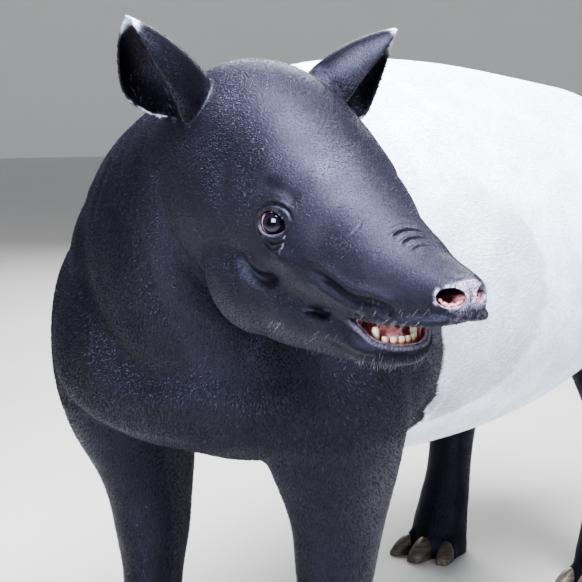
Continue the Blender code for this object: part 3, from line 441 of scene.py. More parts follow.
def sections_along_x(rows, count, grown=0.0):
    """Rings across the x axis, from rows of x, top, bottom, half width, height of the widest, squareness."""
    rings = []
    for x, top, bottom, half_width, middle, above, below in filled_in(rows, count):
        across, up = oval(half_width + grown, top - middle + grown, middle - bottom + grown, above, below)
        rings.append([(x, y, middle + z) for y, z in zip(across, up)])
    return rings


def sections_down(rows, side, count=44, grown=0.0, around=AROUND):
    """Rings down a leg, grown outwards by a margin."""
    rings = []
    for z, x, out, half_length, half_width in filled_in(rows, count):
        across, along = oval(half_width + grown, half_length + grown, half_length + grown, around=around)
        rings.append([(x + b, side * out + a, z) for a, b in zip(across, along)])
    return rings


def neck_rings(count=24, since=0.0, flare=(0.0, 0.0)):
    """Rings that turn with the neck from the trunk's direction to the head's; flare is how much they are
    grown at the start and at the end of the head's own stub of neck."""
    start, end = NECK_ROOT, HEAD @ NECK_END
    way_in = NECK_LEAVES.normalized() * NECK_REACH
    way_out = (HEAD.to_3x3() @ Vector((1, 0, -0.05))).normalized() * NECK_REACH * 0.8
    rings = []
    for t, half_width, rise, drop in filled_in(NECK, count):
        if t < since:
            continue
        place = (
            start * (2 * t**3 - 3 * t**2 + 1)
            + way_in * (t**3 - 2 * t**2 + t)
            + end * (3 * t**2 - 2 * t**3)
            + way_out * (t**3 - t**2)
        )
        ahead = (
            (end - start) * (6 * t - 6 * t**2)
            + way_in * (3 * t**2 - 4 * t + 1)
            + way_out * (3 * t**2 - 2 * t)
        ).normalized()
        left = Vector((0, 0, 1)).cross(ahead).normalized()
        up = ahead.cross(left)
        grown = float(np.interp(t, (0.55, 1.0), flare))
        across, height = oval(half_width + grown, rise + grown, drop + grown, 1.9, 2.0)
        rings.append([place + left * a + up * b for a, b in zip(across, height)])
    return rings


def tail_rings(count=14, grown=0.0, since=0.0, longer=0.0):
    """Rings down the stub of the tail, grown by a margin, from a share of its length to past its tip."""
    way = TAIL_WAY.normalized()
    side = Vector((0, 1, 0))
    rows = [row for row in filled_in(TAIL, count) if row[0] >= since]
    rings = []
    for i, (share, thick) in enumerate(rows):
        across, height = oval(thick + grown, thick * 0.8 + grown, thick * 0.8 + grown, around=16)
        hangs = Vector((0.02, 0, -0.03)) * share**2
        further = longer * (i == len(rows) - 1) - longer * (i == 0)
        place = TAIL_ROOT + way * (TAIL_LENGTH * share + further) + hangs
        rings.append([place + side * a + way.cross(side) * b for a, b in zip(across, height)])
    return rings


def ear_rings(name, count=26, across=13):
    """Rings up an ear: each goes round the outside of the cup and back along the inside."""
    way = EAR_WAY[name].normalized()
    opens = (EAR_OPENS[name] - way * EAR_OPENS[name].dot(way)).normalized()
    wide = way.cross(opens)
    rings = []
    for share, front, rear, front_wrap, rear_wrap, reach, back in filled_in(EAR, count):
        place = EAR_ROOT[name] + way * (EAR_LENGTH * share) - opens * back
        ring = []
        for wall, steps in ((0.0, np.linspace(-1, 1, across)), (EAR_WALL, np.linspace(1, -1, across))):
            inner = wall * min(1.0, front / 0.02)
            for s in steps:
                behind = s * SIDES[name] > 0
                half, wrap, deep = (rear, rear_wrap, reach) if behind else (front, front_wrap, front)
                turn = s * math.radians(wrap)
                wider = half / math.sin(math.radians(min(wrap, 90))) - inner
                depth = inner + (deep - inner) * (1 - math.cos(turn))
                ring.append(place + opens * depth + wide * wider * math.sin(turn))
        rings.append(ring)
    return rings


def eye_matrix(side):
    """The eye's own frame: x looks out of the head, y runs along the lids to the front corner, z up."""
    look = mirrored(EYE_LOOKS, side).normalized()
    front = mirrored(EYE_CORNER, side)
    front = (front - look * front.dot(look)).normalized()
    up = front.cross(look) * side
    return Matrix.Translation(mirrored(EYE, side)) @ Matrix((look, front, up)).transposed().to_4x4()


def lid_loop(side, grow=1.0, radius=EYE_RADIUS, count=28):
    """Points round the parted lids, on a ball just over the eye."""
    frame = eye_matrix(side)
    points = []
    for i in range(count):
        a = 2 * math.pi * i / count
        along = LID_LONG * grow * math.cos(a)
        high = LID_HIGH * grow * math.sin(a) * (1.0 - 0.25 * math.cos(a))
        out = math.sqrt(max(radius**2 - along**2 - high**2, 1e-8))
        points.append(frame @ Vector((out, along, high)))
    return points


def nostril_matrix(side):
    return placed(mirrored(NOSTRIL, side), mirrored(NOSTRIL_FACES, side))


def nostril_loop(side, count=28):
    frame = nostril_matrix(side)
    angles = [2 * math.pi * i / count for i in range(count)]
    return [frame @ Vector((0.001, NOSTRIL_LONG * math.cos(a), NOSTRIL_HIGH * math.sin(a))) for a in angles]


def linked(name, bm):
    """Makes bm an object of the scene."""
    mesh = bpy.data.meshes.new(name)
    bm.to_mesh(mesh)
    bm.free()
    made = bpy.data.objects.new(name, mesh)
    bpy.context.scene.collection.objects.link(made)
    return made


def made_of(name, *shapes):
    """An object of several closed shapes, each given as rings and a matrix."""
    bm = bmesh.new()
    for rings, matrix in shapes:
        loft(bm, rings, matrix)
    bmesh.ops.triangulate(bm, faces=bm.faces, quad_method="FIXED")
    return linked(name, bm)


def toe_rings(foot, side, toe, start, end, grown=0.0, blunt=False, count=5):
    """Rings out along a toe of a foot, flat below; a blunt one narrows and falls to its front edge."""
    forward, outward, degrees, _, width, height = toe
    turn = math.radians(degrees) * side
    ahead = Vector((math.cos(turn), math.sin(turn), 0))
    across = Vector((-math.sin(turn), math.cos(turn), 0))
    root = mirrored(FEET[foot][0] + Vector((forward, outward, 0)), side)
    rings = []
    for share in np.linspace(0, 1, count):
        falls = 1 - 0.72 * share**1.6 if blunt else 1.0
        narrow = math.sqrt(1 - 0.72 * share**2.5) if blunt else 1.0
        place = root + ahead * (start + (end - start) * share)
        ring = []
        for a in np.linspace(0, math.pi, 8):
            sideways = (width / 2 * narrow + grown) * math.cos(a)
            high = (height * falls + grown) * math.sin(a) ** 0.7
            ring.append(place + across * sideways + Vector((0, 0, high)))
        if grown:
            ring = [p - Vector((0, 0, grown)) if i in (0, 7) else p for i, p in enumerate(ring)]
        rings.append(ring)
    return rings


def lid_opening(side):
    """The cutter that opens the lids over the eye."""
    frame = eye_matrix(side)
    flat = [frame.inverted() @ p for p in lid_loop(side)]
    rows = []
    for out, grow in ((0.006, 0.72), (0.0175, 0.94), (0.021, 1.02), (0.045, 1.45)):
        rows.append([(out, p.y * grow, p.z * grow) for p in flat])
    return made_of("lid_opening", (rows, frame))


def gum_rings(grown=0.0):
    """Rings along the lower gum's arch, from the right side to the left."""
    half = [Vector((x, y, 0)) for x, y in filled_in(GUM, 7)]
    points = both_sides(half)
    rings = []
    for i, point in enumerate(points):
        ahead = (points[min(i + 1, len(points) - 1)] - points[max(i - 1, 0)]).normalized()
        side = Vector((-ahead.y, ahead.x, 0))
        middle, tall = (GUM_TOP + GUM_BOTTOM) / 2, (GUM_TOP - GUM_BOTTOM) / 2 + grown
        across, up = oval(GUM_HALF + grown, tall, tall, 2.4, 2.4, 8)
        shift = ahead * (grown if i == len(points) - 1 else -grown if i == 0 else 0.0)
        rings.append([point + side * a + Vector((0, 0, middle + b)) + shift for a, b in zip(across, up)])
    return rings


def tooth_rings(place, width, height, thick, side):
    """Rings up one tooth, from well inside the gum to its worn edge."""
    half = filled_in(GUM, 60)
    spot = int(place * 59)
    point = Vector((half[spot][0], side * half[spot][1], GUM_TOP))
    ahead = Vector((*(half[spot + 1] - half[spot - 1]), 0)).normalized()
    ahead.y *= side
    across = Vector((-ahead.y, ahead.x, 0))
    rings = []
    for rise, size in ((-0.007, 0.80), (0.25, 1.0), (0.75, 0.85), (1.0, 0.5)):
        up = rise if rise < 0 else rise * height
        wide, deep = oval(width / 2 * size, thick / 2 * size, thick / 2 * size, 2.4, 2.4, 7)
        rings.append([point + ahead * a + across * b + Vector((0, 0, up)) for a, b in zip(wide, deep)])
    return rings


def tongue_rings(grown=0.0):
    rings = []
    for x, top, bottom, half_width in filled_in(TONGUE, 8):
        half_height = (top - bottom) / 2 + grown
        across, up = oval(half_width + grown, half_height, half_height, around=12)
        rings.append([(x, y, (top + bottom) / 2 + z) for y, z in zip(across, up)])
    rings[0] = [(x - grown, y, z) for x, y, z in rings[0]]
    rings[-1] = [(x + grown, y, z) for x, y, z in rings[-1]]
    return rings


def applied(obj):
    """Applies an object's modifiers and leaves it a plain mesh."""
    bpy.context.view_layer.update()
    graph = bpy.context.evaluated_depsgraph_get()
    mesh = bpy.data.meshes.new_from_object(obj.evaluated_get(graph))
    old = obj.data
    obj.modifiers.clear()
    obj.data = mesh
    bpy.data.meshes.remove(old)
    return obj


def remeshed(obj, voxel, smoothing):
    """One closed skin round everything in an object, softened."""
    remesh = obj.modifiers.new("one_skin", "REMESH")
    remesh.mode = "VOXEL"
    remesh.voxel_size = voxel
    soften = obj.modifiers.new("soften", "SMOOTH")
    soften.iterations = smoothing
    return applied(obj)


def cut_or_joined(obj, others, operation):
    """Cuts or joins closed helpers, one after another, and removes them."""
    for other in others:
        step = obj.modifiers.new(operation.lower(), "BOOLEAN")
        step.operation = operation
        step.solver = "MANIFOLD"
        step.object = other
        applied(obj)
        bpy.data.objects.remove(other)
    return obj


def coordinates(mesh, what="vertices", field="co"):
    """A mesh's vectors as an array."""
    items = getattr(mesh, what)
    flat = np.empty(len(items) * 3, np.float32)
    items.foreach_get(field, flat)
    return flat.reshape(-1, 3).astype(np.float64)


def put_back(mesh, points):
    mesh.vertices.foreach_set("co", points.astype(np.float32).ravel())
    mesh.update()


def normals_of(mesh):
    mesh.update()
    flat = np.empty(len(mesh.vertices) * 3, np.float32)
    mesh.vertex_normals.foreach_get("vector", flat)
    return flat.reshape(-1, 3).astype(np.float64)


def edges_of(mesh):
    flat = np.empty(len(mesh.edges) * 2, np.int32)
    mesh.edges.foreach_get("vertices", flat)
    return flat.reshape(-1, 2)


def relaxed(points, edges, weight, times):
    """Draws each point towards the mean of its neighbours, by its weight."""
    count = len(points)
    both = np.concatenate([edges, edges[:, ::-1]])
    degree = np.maximum(np.bincount(both[:, 0], minlength=count), 1)
    for _ in range(times):
        mean = np.stack([np.bincount(both[:, 0], points[both[:, 1], i], count) for i in range(3)], 1)
        points = points + (mean / degree[:, None] - points) * weight[:, None]
    return points


def gap_to(tree, points, near):
    """How far each of these points is from a surface; near picks the ones to measure, the rest are far."""
    far = np.full(len(points), 1.0)
    for i in np.flatnonzero(near):
        far[i] = tree.find_nearest(Vector(points[i]))[3]
    return far


def tree_of(obj):
    mesh = obj.data
    mesh.calc_loop_triangles()
    flat = np.empty(len(mesh.loop_triangles) * 3, np.int32)
    mesh.loop_triangles.foreach_get("vertices", flat)
    return BVHTree.FromPolygons(coordinates(mesh).tolist(), flat.reshape(-1, 3).tolist())


def smooth_path(points, step=0.002):
    """A line through a few points, drawn as a smooth curve."""
    points = np.array(points, float)
    long = np.linalg.norm(np.diff(points, axis=0), axis=1).sum()
    return filled_in(points, max(4, int(long / step)))


def away_from(points, path):
    """Distance of each point from a path, and the share of the path that it lies beside."""
    best = np.full(len(points), 9.0)
    share = np.zeros(len(points))
    low, high = path.min(0) - 0.06, path.max(0) + 0.06
    near = np.flatnonzero(((points > low) & (points < high)).all(1))
    if not len(near):
        return best, share
    some = points[near]
    for i in range(len(path) - 1):
        start, along = path[i], path[i + 1] - path[i]
        t = np.clip((some - start) @ along / max(along @ along, 1e-12), 0, 1)
        gap = np.linalg.norm(some - start - t[:, None] * along, axis=1)
        closer = gap < best[near]
        best[near[closer]] = gap[closer]
        share[near[closer]] = (i + t[closer]) / (len(path) - 1)
    return best, share


def pressed(points, normals, path, width, depth, lip=0.0, open_start=False):
    """Presses a groove of a width and depth along a path, with raised lips beside it, fading to its ends.
    A negative depth raises a ridge. It returns how deep each point lies in the groove, from 0 to 1."""
    gap, share = away_from(points, smooth_path(path))
    fade = np.clip(share / 0.22, 0, 1) if not open_start else 1.0
    fade = fade * np.clip((1 - share) / 0.22, 0, 1)
    fade = fade * fade * (3 - 2 * fade) if not open_start else fade
    inside = np.exp(-((gap / width) ** 2)) * fade
    beside = np.exp(-(((gap - 1.9 * width) / width) ** 2)) * fade * (gap < 1)
    points += normals * (lip * beside - depth * inside)[:, None]
    return inside


def swollen(points, normals, centre, radii, height):
    """Raises a soft swelling, or sinks a hollow where the height is negative."""
    away = (((points - np.array(centre)) / np.array(radii)) ** 2).sum(1)
    points += normals * (height * np.exp(-away))[:, None]


def step_between(low, high, values):
    """0 below low, 1 above high, and a soft step between."""
    t = np.clip((values - low) / (high - low), 0, 1)
    return t * t * (3 - 2 * t)


def in_head(points):
    """Points of the animal's frame, in the head's."""
    matrix = np.array(HEAD.inverted())
    return points @ matrix[:3, :3].T + matrix[:3, 3]


def out_of_head(points):
    matrix = np.array(HEAD)
    return np.atleast_2d(points) @ matrix[:3, :3].T + matrix[:3, 3]


def body_skin(voxel):
    """The trunk, neck, legs and tail in one closed skin, level at the soles."""
    bm = bmesh.new()
    loft(bm, sections_along_x(TRUNK, 80))
    loft(bm, neck_rings(40))
    loft(bm, tail_rings())
    centre, radii, way = NECK_MUSCLE
    ball(bm, placed(centre, way, (1, 0, 0)), radii, 48, 32)
    for side in SIDES.values():
        loft(bm, sections_down(FORELEG, side, 60))
        loft(bm, sections_down(HINDLEG, side, 60))
        for foot, (_, toes) in FEET.items():
            for toe in toes:
                loft(bm, toe_rings(foot, side, toe, -0.020, HOOF_STARTS + HOOF_SET_IN, 0.0035))
    return remeshed(linked("body", bm), voxel, 8)


def head_skin(voxel):
    """The head, jaw, ears, lids and lips in one closed skin, with the mouth, nostrils and lids opened."""
    bm = bmesh.new()
    loft(bm, sections_along_x(SKULL, 110))
    loft(bm, sections_along_x(JAW, 80))
    loft(bm, neck_rings(60, since=0.55, flare=NECK_FLARE), HEAD.inverted())
    for side in SIDES.values():
        for centre, radii, way in MASSES:
            ball(bm, placed(mirrored(centre, side), mirrored(way, side), (0.01, 0, 1)), radii, 32, 24)
    head = remeshed(linked("masses", bm), voxel, int(22 * (0.003 / voxel) ** 2))
    bm = bmesh.new()
    bm.from_mesh(head.data)
    bpy.data.objects.remove(head)
    for name, side in SIDES.items():
        loft(bm, ear_rings(name, 60, 31))
        loft(bm, tube_rings(lid_loop(side, 1.14, EYE_RADIUS + 0.0022, 48), LID_THICK, 12, closed=True), ends=False)
        loft(bm, tube_rings(nostril_loop(side, 48), NOSTRIL_RIM, 12, closed=True), ends=False)
    for lip, thick in ((UPPER_LIP, UPPER_LIP_THICK), (LOWER_LIP, LOWER_LIP_THICK)):
        path = [Vector(p) for p in smooth_path(lip, 0.006)]
        loft(bm, tube_rings(both_sides(path), thick, 12))
    head = remeshed(linked("head", bm), voxel, 3)
    cutters = [made_of("mouth", (sections_along_x(MOUTH, 40), PLAIN))]
    for side in SIDES.values():
        cutters.append(nostril_pit(side))
        bm = bmesh.new()
        ball(bm, eye_matrix(side) @ Matrix.Rotation(math.radians(90), 4, "Y"), [EYE_RADIUS + GAP] * 3, 48, 32)
        cutters += [linked("socket", bm), lid_opening(side)]
    cut_or_joined(head, cutters, "DIFFERENCE")
    head.data.transform(HEAD)
    return head


def nostril_pit(side):
    """The cutter of a nostril: an oval pit that runs in and back."""
    frame = nostril_matrix(side)
    rings = []
    for out, size, back in NOSTRIL_PIT:
        across, up = oval(NOSTRIL_LONG * size, NOSTRIL_HIGH * size, NOSTRIL_HIGH * size, around=32)
        rings.append([(out, a + back * side, b - 0.1 * back) for a, b in zip(across, up)])
    return made_of("nostril", (rings, frame))


def whole_skin(head_voxel, body_voxel):
    """Head and body joined where they cross in the neck, and relaxed there so that no line shows."""
    head, skin = head_skin(head_voxel), body_skin(body_voxel)
    trees = tree_of(head), tree_of(skin)
    skin = cut_or_joined(skin, [head], "UNION")
    bm = bmesh.new()
    bm.from_mesh(skin.data)
    whole = bm.verts[:] + bm.edges[:] + bm.faces[:]
    bmesh.ops.bisect_plane(bm, geom=whole, dist=1e-7, plane_co=(0, 0, 0), plane_no=(0, 0, 1), clear_inner=True)
    bmesh.ops.holes_fill(bm, edges=[e for e in bm.edges if e.is_boundary], sides=0)
    bmesh.ops.remove_doubles(bm, verts=bm.verts, dist=0.0006)
    bmesh.ops.triangulate(bm, faces=bm.faces)
    bmesh.ops.recalc_face_normals(bm, faces=bm.faces)
    bm.to_mesh(skin.data)
    bm.free()
    keep_largest(skin)
    mesh = skin.data
    points = coordinates(mesh)
    head_x = in_head(points)[:, 0]
    near = (head_x > -0.30) & (head_x < 0.05)
    both = np.maximum(gap_to(trees[0], points, near), gap_to(trees[1], points, near))
    weight = 0.9 * (1 - step_between(0.004, 0.012, both))
    put_back(mesh, relaxed(points, edges_of(mesh), weight, 40))
    return skin


def keep_largest(obj):
    """Keeps an object's largest connected surface."""
    bm = bmesh.new()
    bm.from_mesh(obj.data)
    left, keep = set(bm.verts), set()
    while left:
        group, edge = set(), [next(iter(left))]
        while edge:
            vert = edge.pop()
            if vert in group:
                continue
            group.add(vert)
            edge.extend(e.other_vert(vert) for e in vert.link_edges)
        left -= group
        if len(group) > len(keep):
            keep = group
    bmesh.ops.delete(bm, geom=[v for v in bm.verts if v not in keep], context="VERTS")
    bm.to_mesh(obj.data)
    bm.free()


def refined(obj, fine):
    """Splits the triangles in which every point is marked as fine."""
    bm = bmesh.new()
    bm.from_mesh(obj.data)
    edges = {e for f in bm.faces if all(fine[v.index] for v in f.verts) for e in f.edges}
    bmesh.ops.subdivide_edges(bm, edges=list(edges), cuts=1, use_grid_fill=True, smooth=0.0)
    bmesh.ops.triangulate(bm, faces=[f for f in bm.faces if len(f.verts) > 3])
    bm.to_mesh(obj.data)
    bm.free()


def sculpted_body(points, normals):
    """Muscles and folds of the body and neck."""
    for side in SIDES.values():
        for centre, radii, height in BODY_SWELLS:
            swollen(points, normals, mirrored(centre, side), radii, height)
        for path, width, depth, lip in BODY_FOLDS:
            pressed(points, normals, [mirrored(p, side) for p in path], width, depth, lip)
    for path, width, depth, lip in NECK_FOLDS:
        pressed(points, normals, path, width, depth, lip)


def on_top_of_snout(x, half_width, surface):
    """A path across the top of the snout, laid on the surface."""
    path = []
    for share in np.linspace(-1, 1, 9):
        start = HEAD @ Vector((x + 0.004 * share**2, half_width * share, 0.10))
        hit = surface.ray_cast(start, HEAD.to_3x3() @ Vector((0, 0, -1)))[0]
        path.append(hit)
    return path


def laid_on(path, surface):
    """Moves the points of a path to the surface, so that a stroke lies in the skin."""
    return [surface.find_nearest(Vector(p))[0] for p in path]


def sculpted_head(points, normals, surface):
    """Hollows, lids' folds and grooves of the head; it returns how deep each point lies in a groove."""
    crease = np.zeros(len(points))
    turn = np.array(HEAD.to_3x3())
    for side in SIDES.values():
        for centre, radii, height in HEAD_SWELLS:
            if side == -1 and centre[1] == 0.0:
                continue
            local = in_head(points) - np.array(mirrored(centre, side))
            reach = np.exp(-((local / np.array(radii)) ** 2).sum(1))
            points += normals * (height * reach)[:, None]
        for path, width, depth, lip in HEAD_GROOVES:
            path = laid_on([HEAD @ mirrored(p, side) for p in path], surface)
            crease = np.maximum(crease, pressed(points, normals, path, width, depth, lip))
        for arc, out, width, depth in LID_FOLDS:
            path = laid_on(lid_arc(side, arc, out), surface)
            crease = np.maximum(crease, pressed(points, normals, path, width, depth, 0.4 * depth))
    for x, half_width, depth in SNOUT_WRINKLES:
        path = on_top_of_snout(x, half_width, surface)
        crease = np.maximum(crease, pressed(points, normals, path, 0.0021, depth, 0.45 * depth))
    return crease


def lid_arc(side, arc, out):
    """Points over part of a ring round the lids."""
    frame = eye_matrix(side)
    points = []
    for a in np.radians(np.linspace(*arc, 14)):
        points.append(HEAD @ frame @ Vector((EYE_RADIUS, LID_LONG * out * math.cos(a), LID_HIGH * out * math.sin(a))))
    return points


def wavy(points, scale, seed=0):
    """A soft pattern of waves from -1 to 1, the same on every run."""
    draw = np.random.default_rng(WAVE_SEED + seed)
    total = np.zeros(len(points))
    for _ in range(9):
        way = draw.normal(size=3)
        way *= 2 * np.pi / (scale * draw.uniform(0.7, 1.6) * np.linalg.norm(way))
        total += np.sin(points @ way + draw.uniform(0, 2 * np.pi))
    return np.clip(total / 4.0, -1, 1)


def saddle_depth(points):
    """How far each point lies inside the white saddle, in metres; below 0 is black."""
    away = SADDLE_FACES.normalized()
    behind = -(points - np.array(SADDLE_START)) @ np.array(away)
    x, z = points[:, 0], points[:, 2]
    leg_line = 0.535 + 0.030 * step_between(-0.62, -0.75, x) - 0.22 * step_between(-0.435, -0.335, x)
    above = (z - leg_line) * 0.8
    return np.minimum(behind, above) + 0.006 * wavy(points, 0.09) + 0.003 * wavy(points, 0.030, 1)


def ear_place(local, name):
    """Share of the ear's length, and how much a point looks into the cup, for points in the head's frame."""
    way = EAR_WAY[name].normalized()
    opens = (EAR_OPENS[name] - way * EAR_OPENS[name].dot(way)).normalized()
    share = (local - np.array(EAR_ROOT[name])) @ np.array(way) / EAR_LENGTH
    return share, np.array(opens), np.array(way)


def ear_rim(name):
    """The rear edge of an ear's lower half, in the head's frame."""
    path = []
    for ring in ear_rings(name, 40):
        ends = (ring[12], ring[13]) if SIDES[name] > 0 else (ring[0], ring[-1])
        path.append((ends[0] + ends[1]) / 2)
    path = np.array(path)
    share, _, _ = ear_place(path, name)
    return path[(share > 0.04) & (share < 0.40)]


def markings(points, normals, crease):
    """Every marking of the skin, as one number for each of its points, with two kinds of painted shade among them: the
    crease depth, which the materials darken, and the dark roofs of the nostrils.
    """
    local = in_head(points)
    turned = normals @ np.array(HEAD.to_3x3())
    zero = np.zeros(len(points))
    pale, pink, inner, tip, rim, bare = (zero.copy() for _ in range(6))
    x, y, z = local.T
    muzzle = x > 0.20
    for side in SIDES.values():
        loop = np.array([p for p in nostril_loop(side, 40)] + [nostril_loop(side, 40)[0]])
        gap, _ = away_from(local, loop)
        rim = 1 - step_between(0.0018, 0.0040, gap + 0.0008 * wavy(points, 0.012))
        pale = np.maximum(pale, rim)
        inside = (np.array(nostril_matrix(side).inverted()) @ np.c_[local, zero + 1].T).T
        across = np.hypot(inside[:, 1] / NOSTRIL_LONG, inside[:, 2] / NOSTRIL_HIGH)
        pit = (across < 1.25) & (inside[:, 0] < -0.0005) & (inside[:, 0] > -0.06) & (x > 0.38)
        depth = step_between(0.0, 0.0025, -inside[:, 0]) * pit
        # Inside the nostril the flesh colour goes on the walls that face up; walls that face down keep the black of the
        # coat, painted shade on the nostril's roof.
        pink = np.maximum(pink, depth * (0.02 + 0.98 * step_between(-0.35, 0.15, turned[:, 2])))
        pale = pale * (1 - depth)
        eye = (np.array(eye_matrix(side).inverted()) @ np.c_[local, zero + 1].T).T
        around = np.hypot(eye[:, 1] / LID_LONG, eye[:, 2] / LID_HIGH)
        near = (np.abs(eye[:, 0]) < 0.035) & (around < 3)
        edge = 1 - step_between(0.05, 0.17, np.abs(around - 1.05))
        pale = np.maximum(pale, 0.16 * near * edge * (1 - step_between(-0.55, 0.05, eye[:, 2] / LID_HIGH)))
        bare = np.maximum(bare, near * (1 - step_between(1.25, 1.6, around)))
        gap, _ = away_from(local, np.array([mirrored(p, side) for p in TEAR]))
        pale = np.maximum(pale, 0.7 * (1 - step_between(0.0004, 0.0016, gap + 0.0006 * wavy(points, 0.006))))
    disc = step_between(0.446, 0.456, x + 0.003 * wavy(points, 0.016)) * (1 - pink)
    high = step_between(-0.196, -0.184, z + 0.003 * wavy(points, 0.02, 5))
    low = step_between(-0.216, -0.200, z) * step_between(-0.2, 0.5, wavy(points, 0.007, 6))
    pale = np.maximum(pale, disc * np.maximum(0.60 * high, 0.24 * low))
    lip = np.array(both_sides([Vector(p) for p in smooth_path(LOWER_LIP, 0.004)]))
    gap, share = away_from(local - np.array([0, 0, 0.4 * LOWER_LIP_THICK]), lip)
    ends = np.clip(share / 0.08, 0, 1) * np.clip((1 - share) / 0.08, 0, 1)
    pale = np.maximum(pale, 0.32 * (1 - step_between(0.0040, 0.0065, gap)) * ends)
    bare = np.maximum(bare, 1 - step_between(0.006, 0.009, gap))
    hollow = made_of("mouth", (sections_along_x(MOUTH, 40), PLAIN))
    wall = gap_to(tree_of(hollow), local, muzzle & (z < -0.205) & (x < 0.345))
    bpy.data.objects.remove(hollow)
    pink = np.maximum(pink, 1 - step_between(0.0006, 0.0012, wall))
    pale = np.maximum(pale, (gap < 0.010) * ends * (1 - step_between(0.0026, 0.0042, wall)))
    pale = pale * (1 - 0.999 * pink)
    for name in SIDES:
        share, opens, way = ear_place(local, name)
        on_ear = (share > 0.05) & (np.abs(y) > 0.055) & (x < 0.14) & (x > -0.16)
        cup = on_ear * step_between(-0.1, 0.35, turned @ opens)
        inner = np.maximum(inner, cup * (EAR_SIDE[name] * y > 0))
        high = on_ear * (EAR_SIDE[name] * y > 0) * step_between(0.84, 0.93, share + 0.02 * wavy(points, 0.02, 3))
        gap, _ = away_from(local, ear_rim(name))
        edge = (1 - step_between(0.0012, 0.0034, gap)) * step_between(-0.7, -0.1, wavy(points, 0.012, 8))
        tip = np.maximum(tip, np.maximum(high, edge))
    bare = np.maximum.reduce([bare, step_between(0.25, 0.7, crease), pale, pink, 0.55 * inner, 1 - step_between(0.010, 0.016, points[:, 2])])
    return {
        "saddle": saddle_depth(points),
        "pale": pale,
        "pink": pink,
        "crease": crease,
        "ear_inner": inner,
        "ear_tip": tip,
        "hairy": np.clip(1 - bare, 0, 1),
    }


def lie_of_coat(points, normals):
    """The way the hair lies: back from the nose, along the body, and down the legs."""
    local = in_head(points)
    turn = np.array(HEAD.to_3x3())
    count = len(points)
    body = np.tile([-1.0, 0.0, -0.30], (count, 1))
    legs = np.tile([-0.20, 0.0, -1.0], (count, 1))
    neck_way = np.array(NECK_ROOT - HEAD @ NECK_END)
    neck = np.tile(neck_way / np.linalg.norm(neck_way) + [0, 0, -0.35], (count, 1))
    head = np.tile(turn @ np.array([-1.0, 0.0, -0.20]), (count, 1))
    low = step_between(0.52, 0.40, points[:, 2])[:, None]
    front = step_between(0.22, 0.40, points[:, 0])[:, None]
    face = step_between(-0.10, 0.02, local[:, 0])[:, None] * step_between(-0.36, -0.30, local[:, 2])[:, None]
    way = body * (1 - front) + neck * front
    way = way * (1 - face) + head * face
    way = way * (1 - low) + legs * low
    for name in SIDES:
        share, _, along = ear_place(local, name)
        on_ear = (step_between(0.05, 0.20, share) * (EAR_SIDE[name] * local[:, 1] > 0.05) * (local[:, 0] < 0.14))[:, None]
        way = way * (1 - on_ear) + (turn @ along) * on_ear
    way += 0.22 * np.stack([wavy(points, 0.12, 10 + i) for i in range(3)], 1)
    way -= normals * (way * normals).sum(1)[:, None]
    return way / np.maximum(np.linalg.norm(way, axis=1), 1e-6)[:, None]


def store(mesh, name, values):
    """Keeps numbers, or vectors, on a mesh's points."""
    kind = "FLOAT" if values.ndim == 1 else "FLOAT_VECTOR"
    layer = mesh.attributes.new(name, kind, "POINT")
    layer.data.foreach_set("value" if kind == "FLOAT" else "vector", values.astype(np.float32).ravel())


def unwrapped(obj):
    """Gives a piece a map of its own surface, which each tuft of hair takes its place on."""
    for other in bpy.context.selected_objects:
        other.select_set(False)
    obj.select_set(True)
    bpy.context.view_layer.objects.active = obj
    bpy.ops.object.mode_set(mode="EDIT")
    bpy.ops.mesh.select_all(action="SELECT")
    bpy.ops.uv.smart_project(angle_limit=math.radians(66), island_margin=0.001)
    bpy.ops.object.mode_set(mode="OBJECT")
    obj.data.uv_layers[0].name = "OFBake"
    obj.select_set(False)


def part_of_skin(skin, name, keep):
    """The triangles of the skin whose middles are in a region, as a mesh to grow hair on."""
    mesh = skin.data
    corner = np.empty(len(mesh.loops), np.int32)
    mesh.loops.foreach_get("vertex_index", corner)
    inside = keep[corner.reshape(-1, 3)].mean(1) > 0.5
    bm = bmesh.new()
    bm.from_mesh(mesh)
    bmesh.ops.delete(bm, geom=[f for f, stays in zip(bm.faces, inside) if not stays], context="FACES")
    return linked(name, bm)


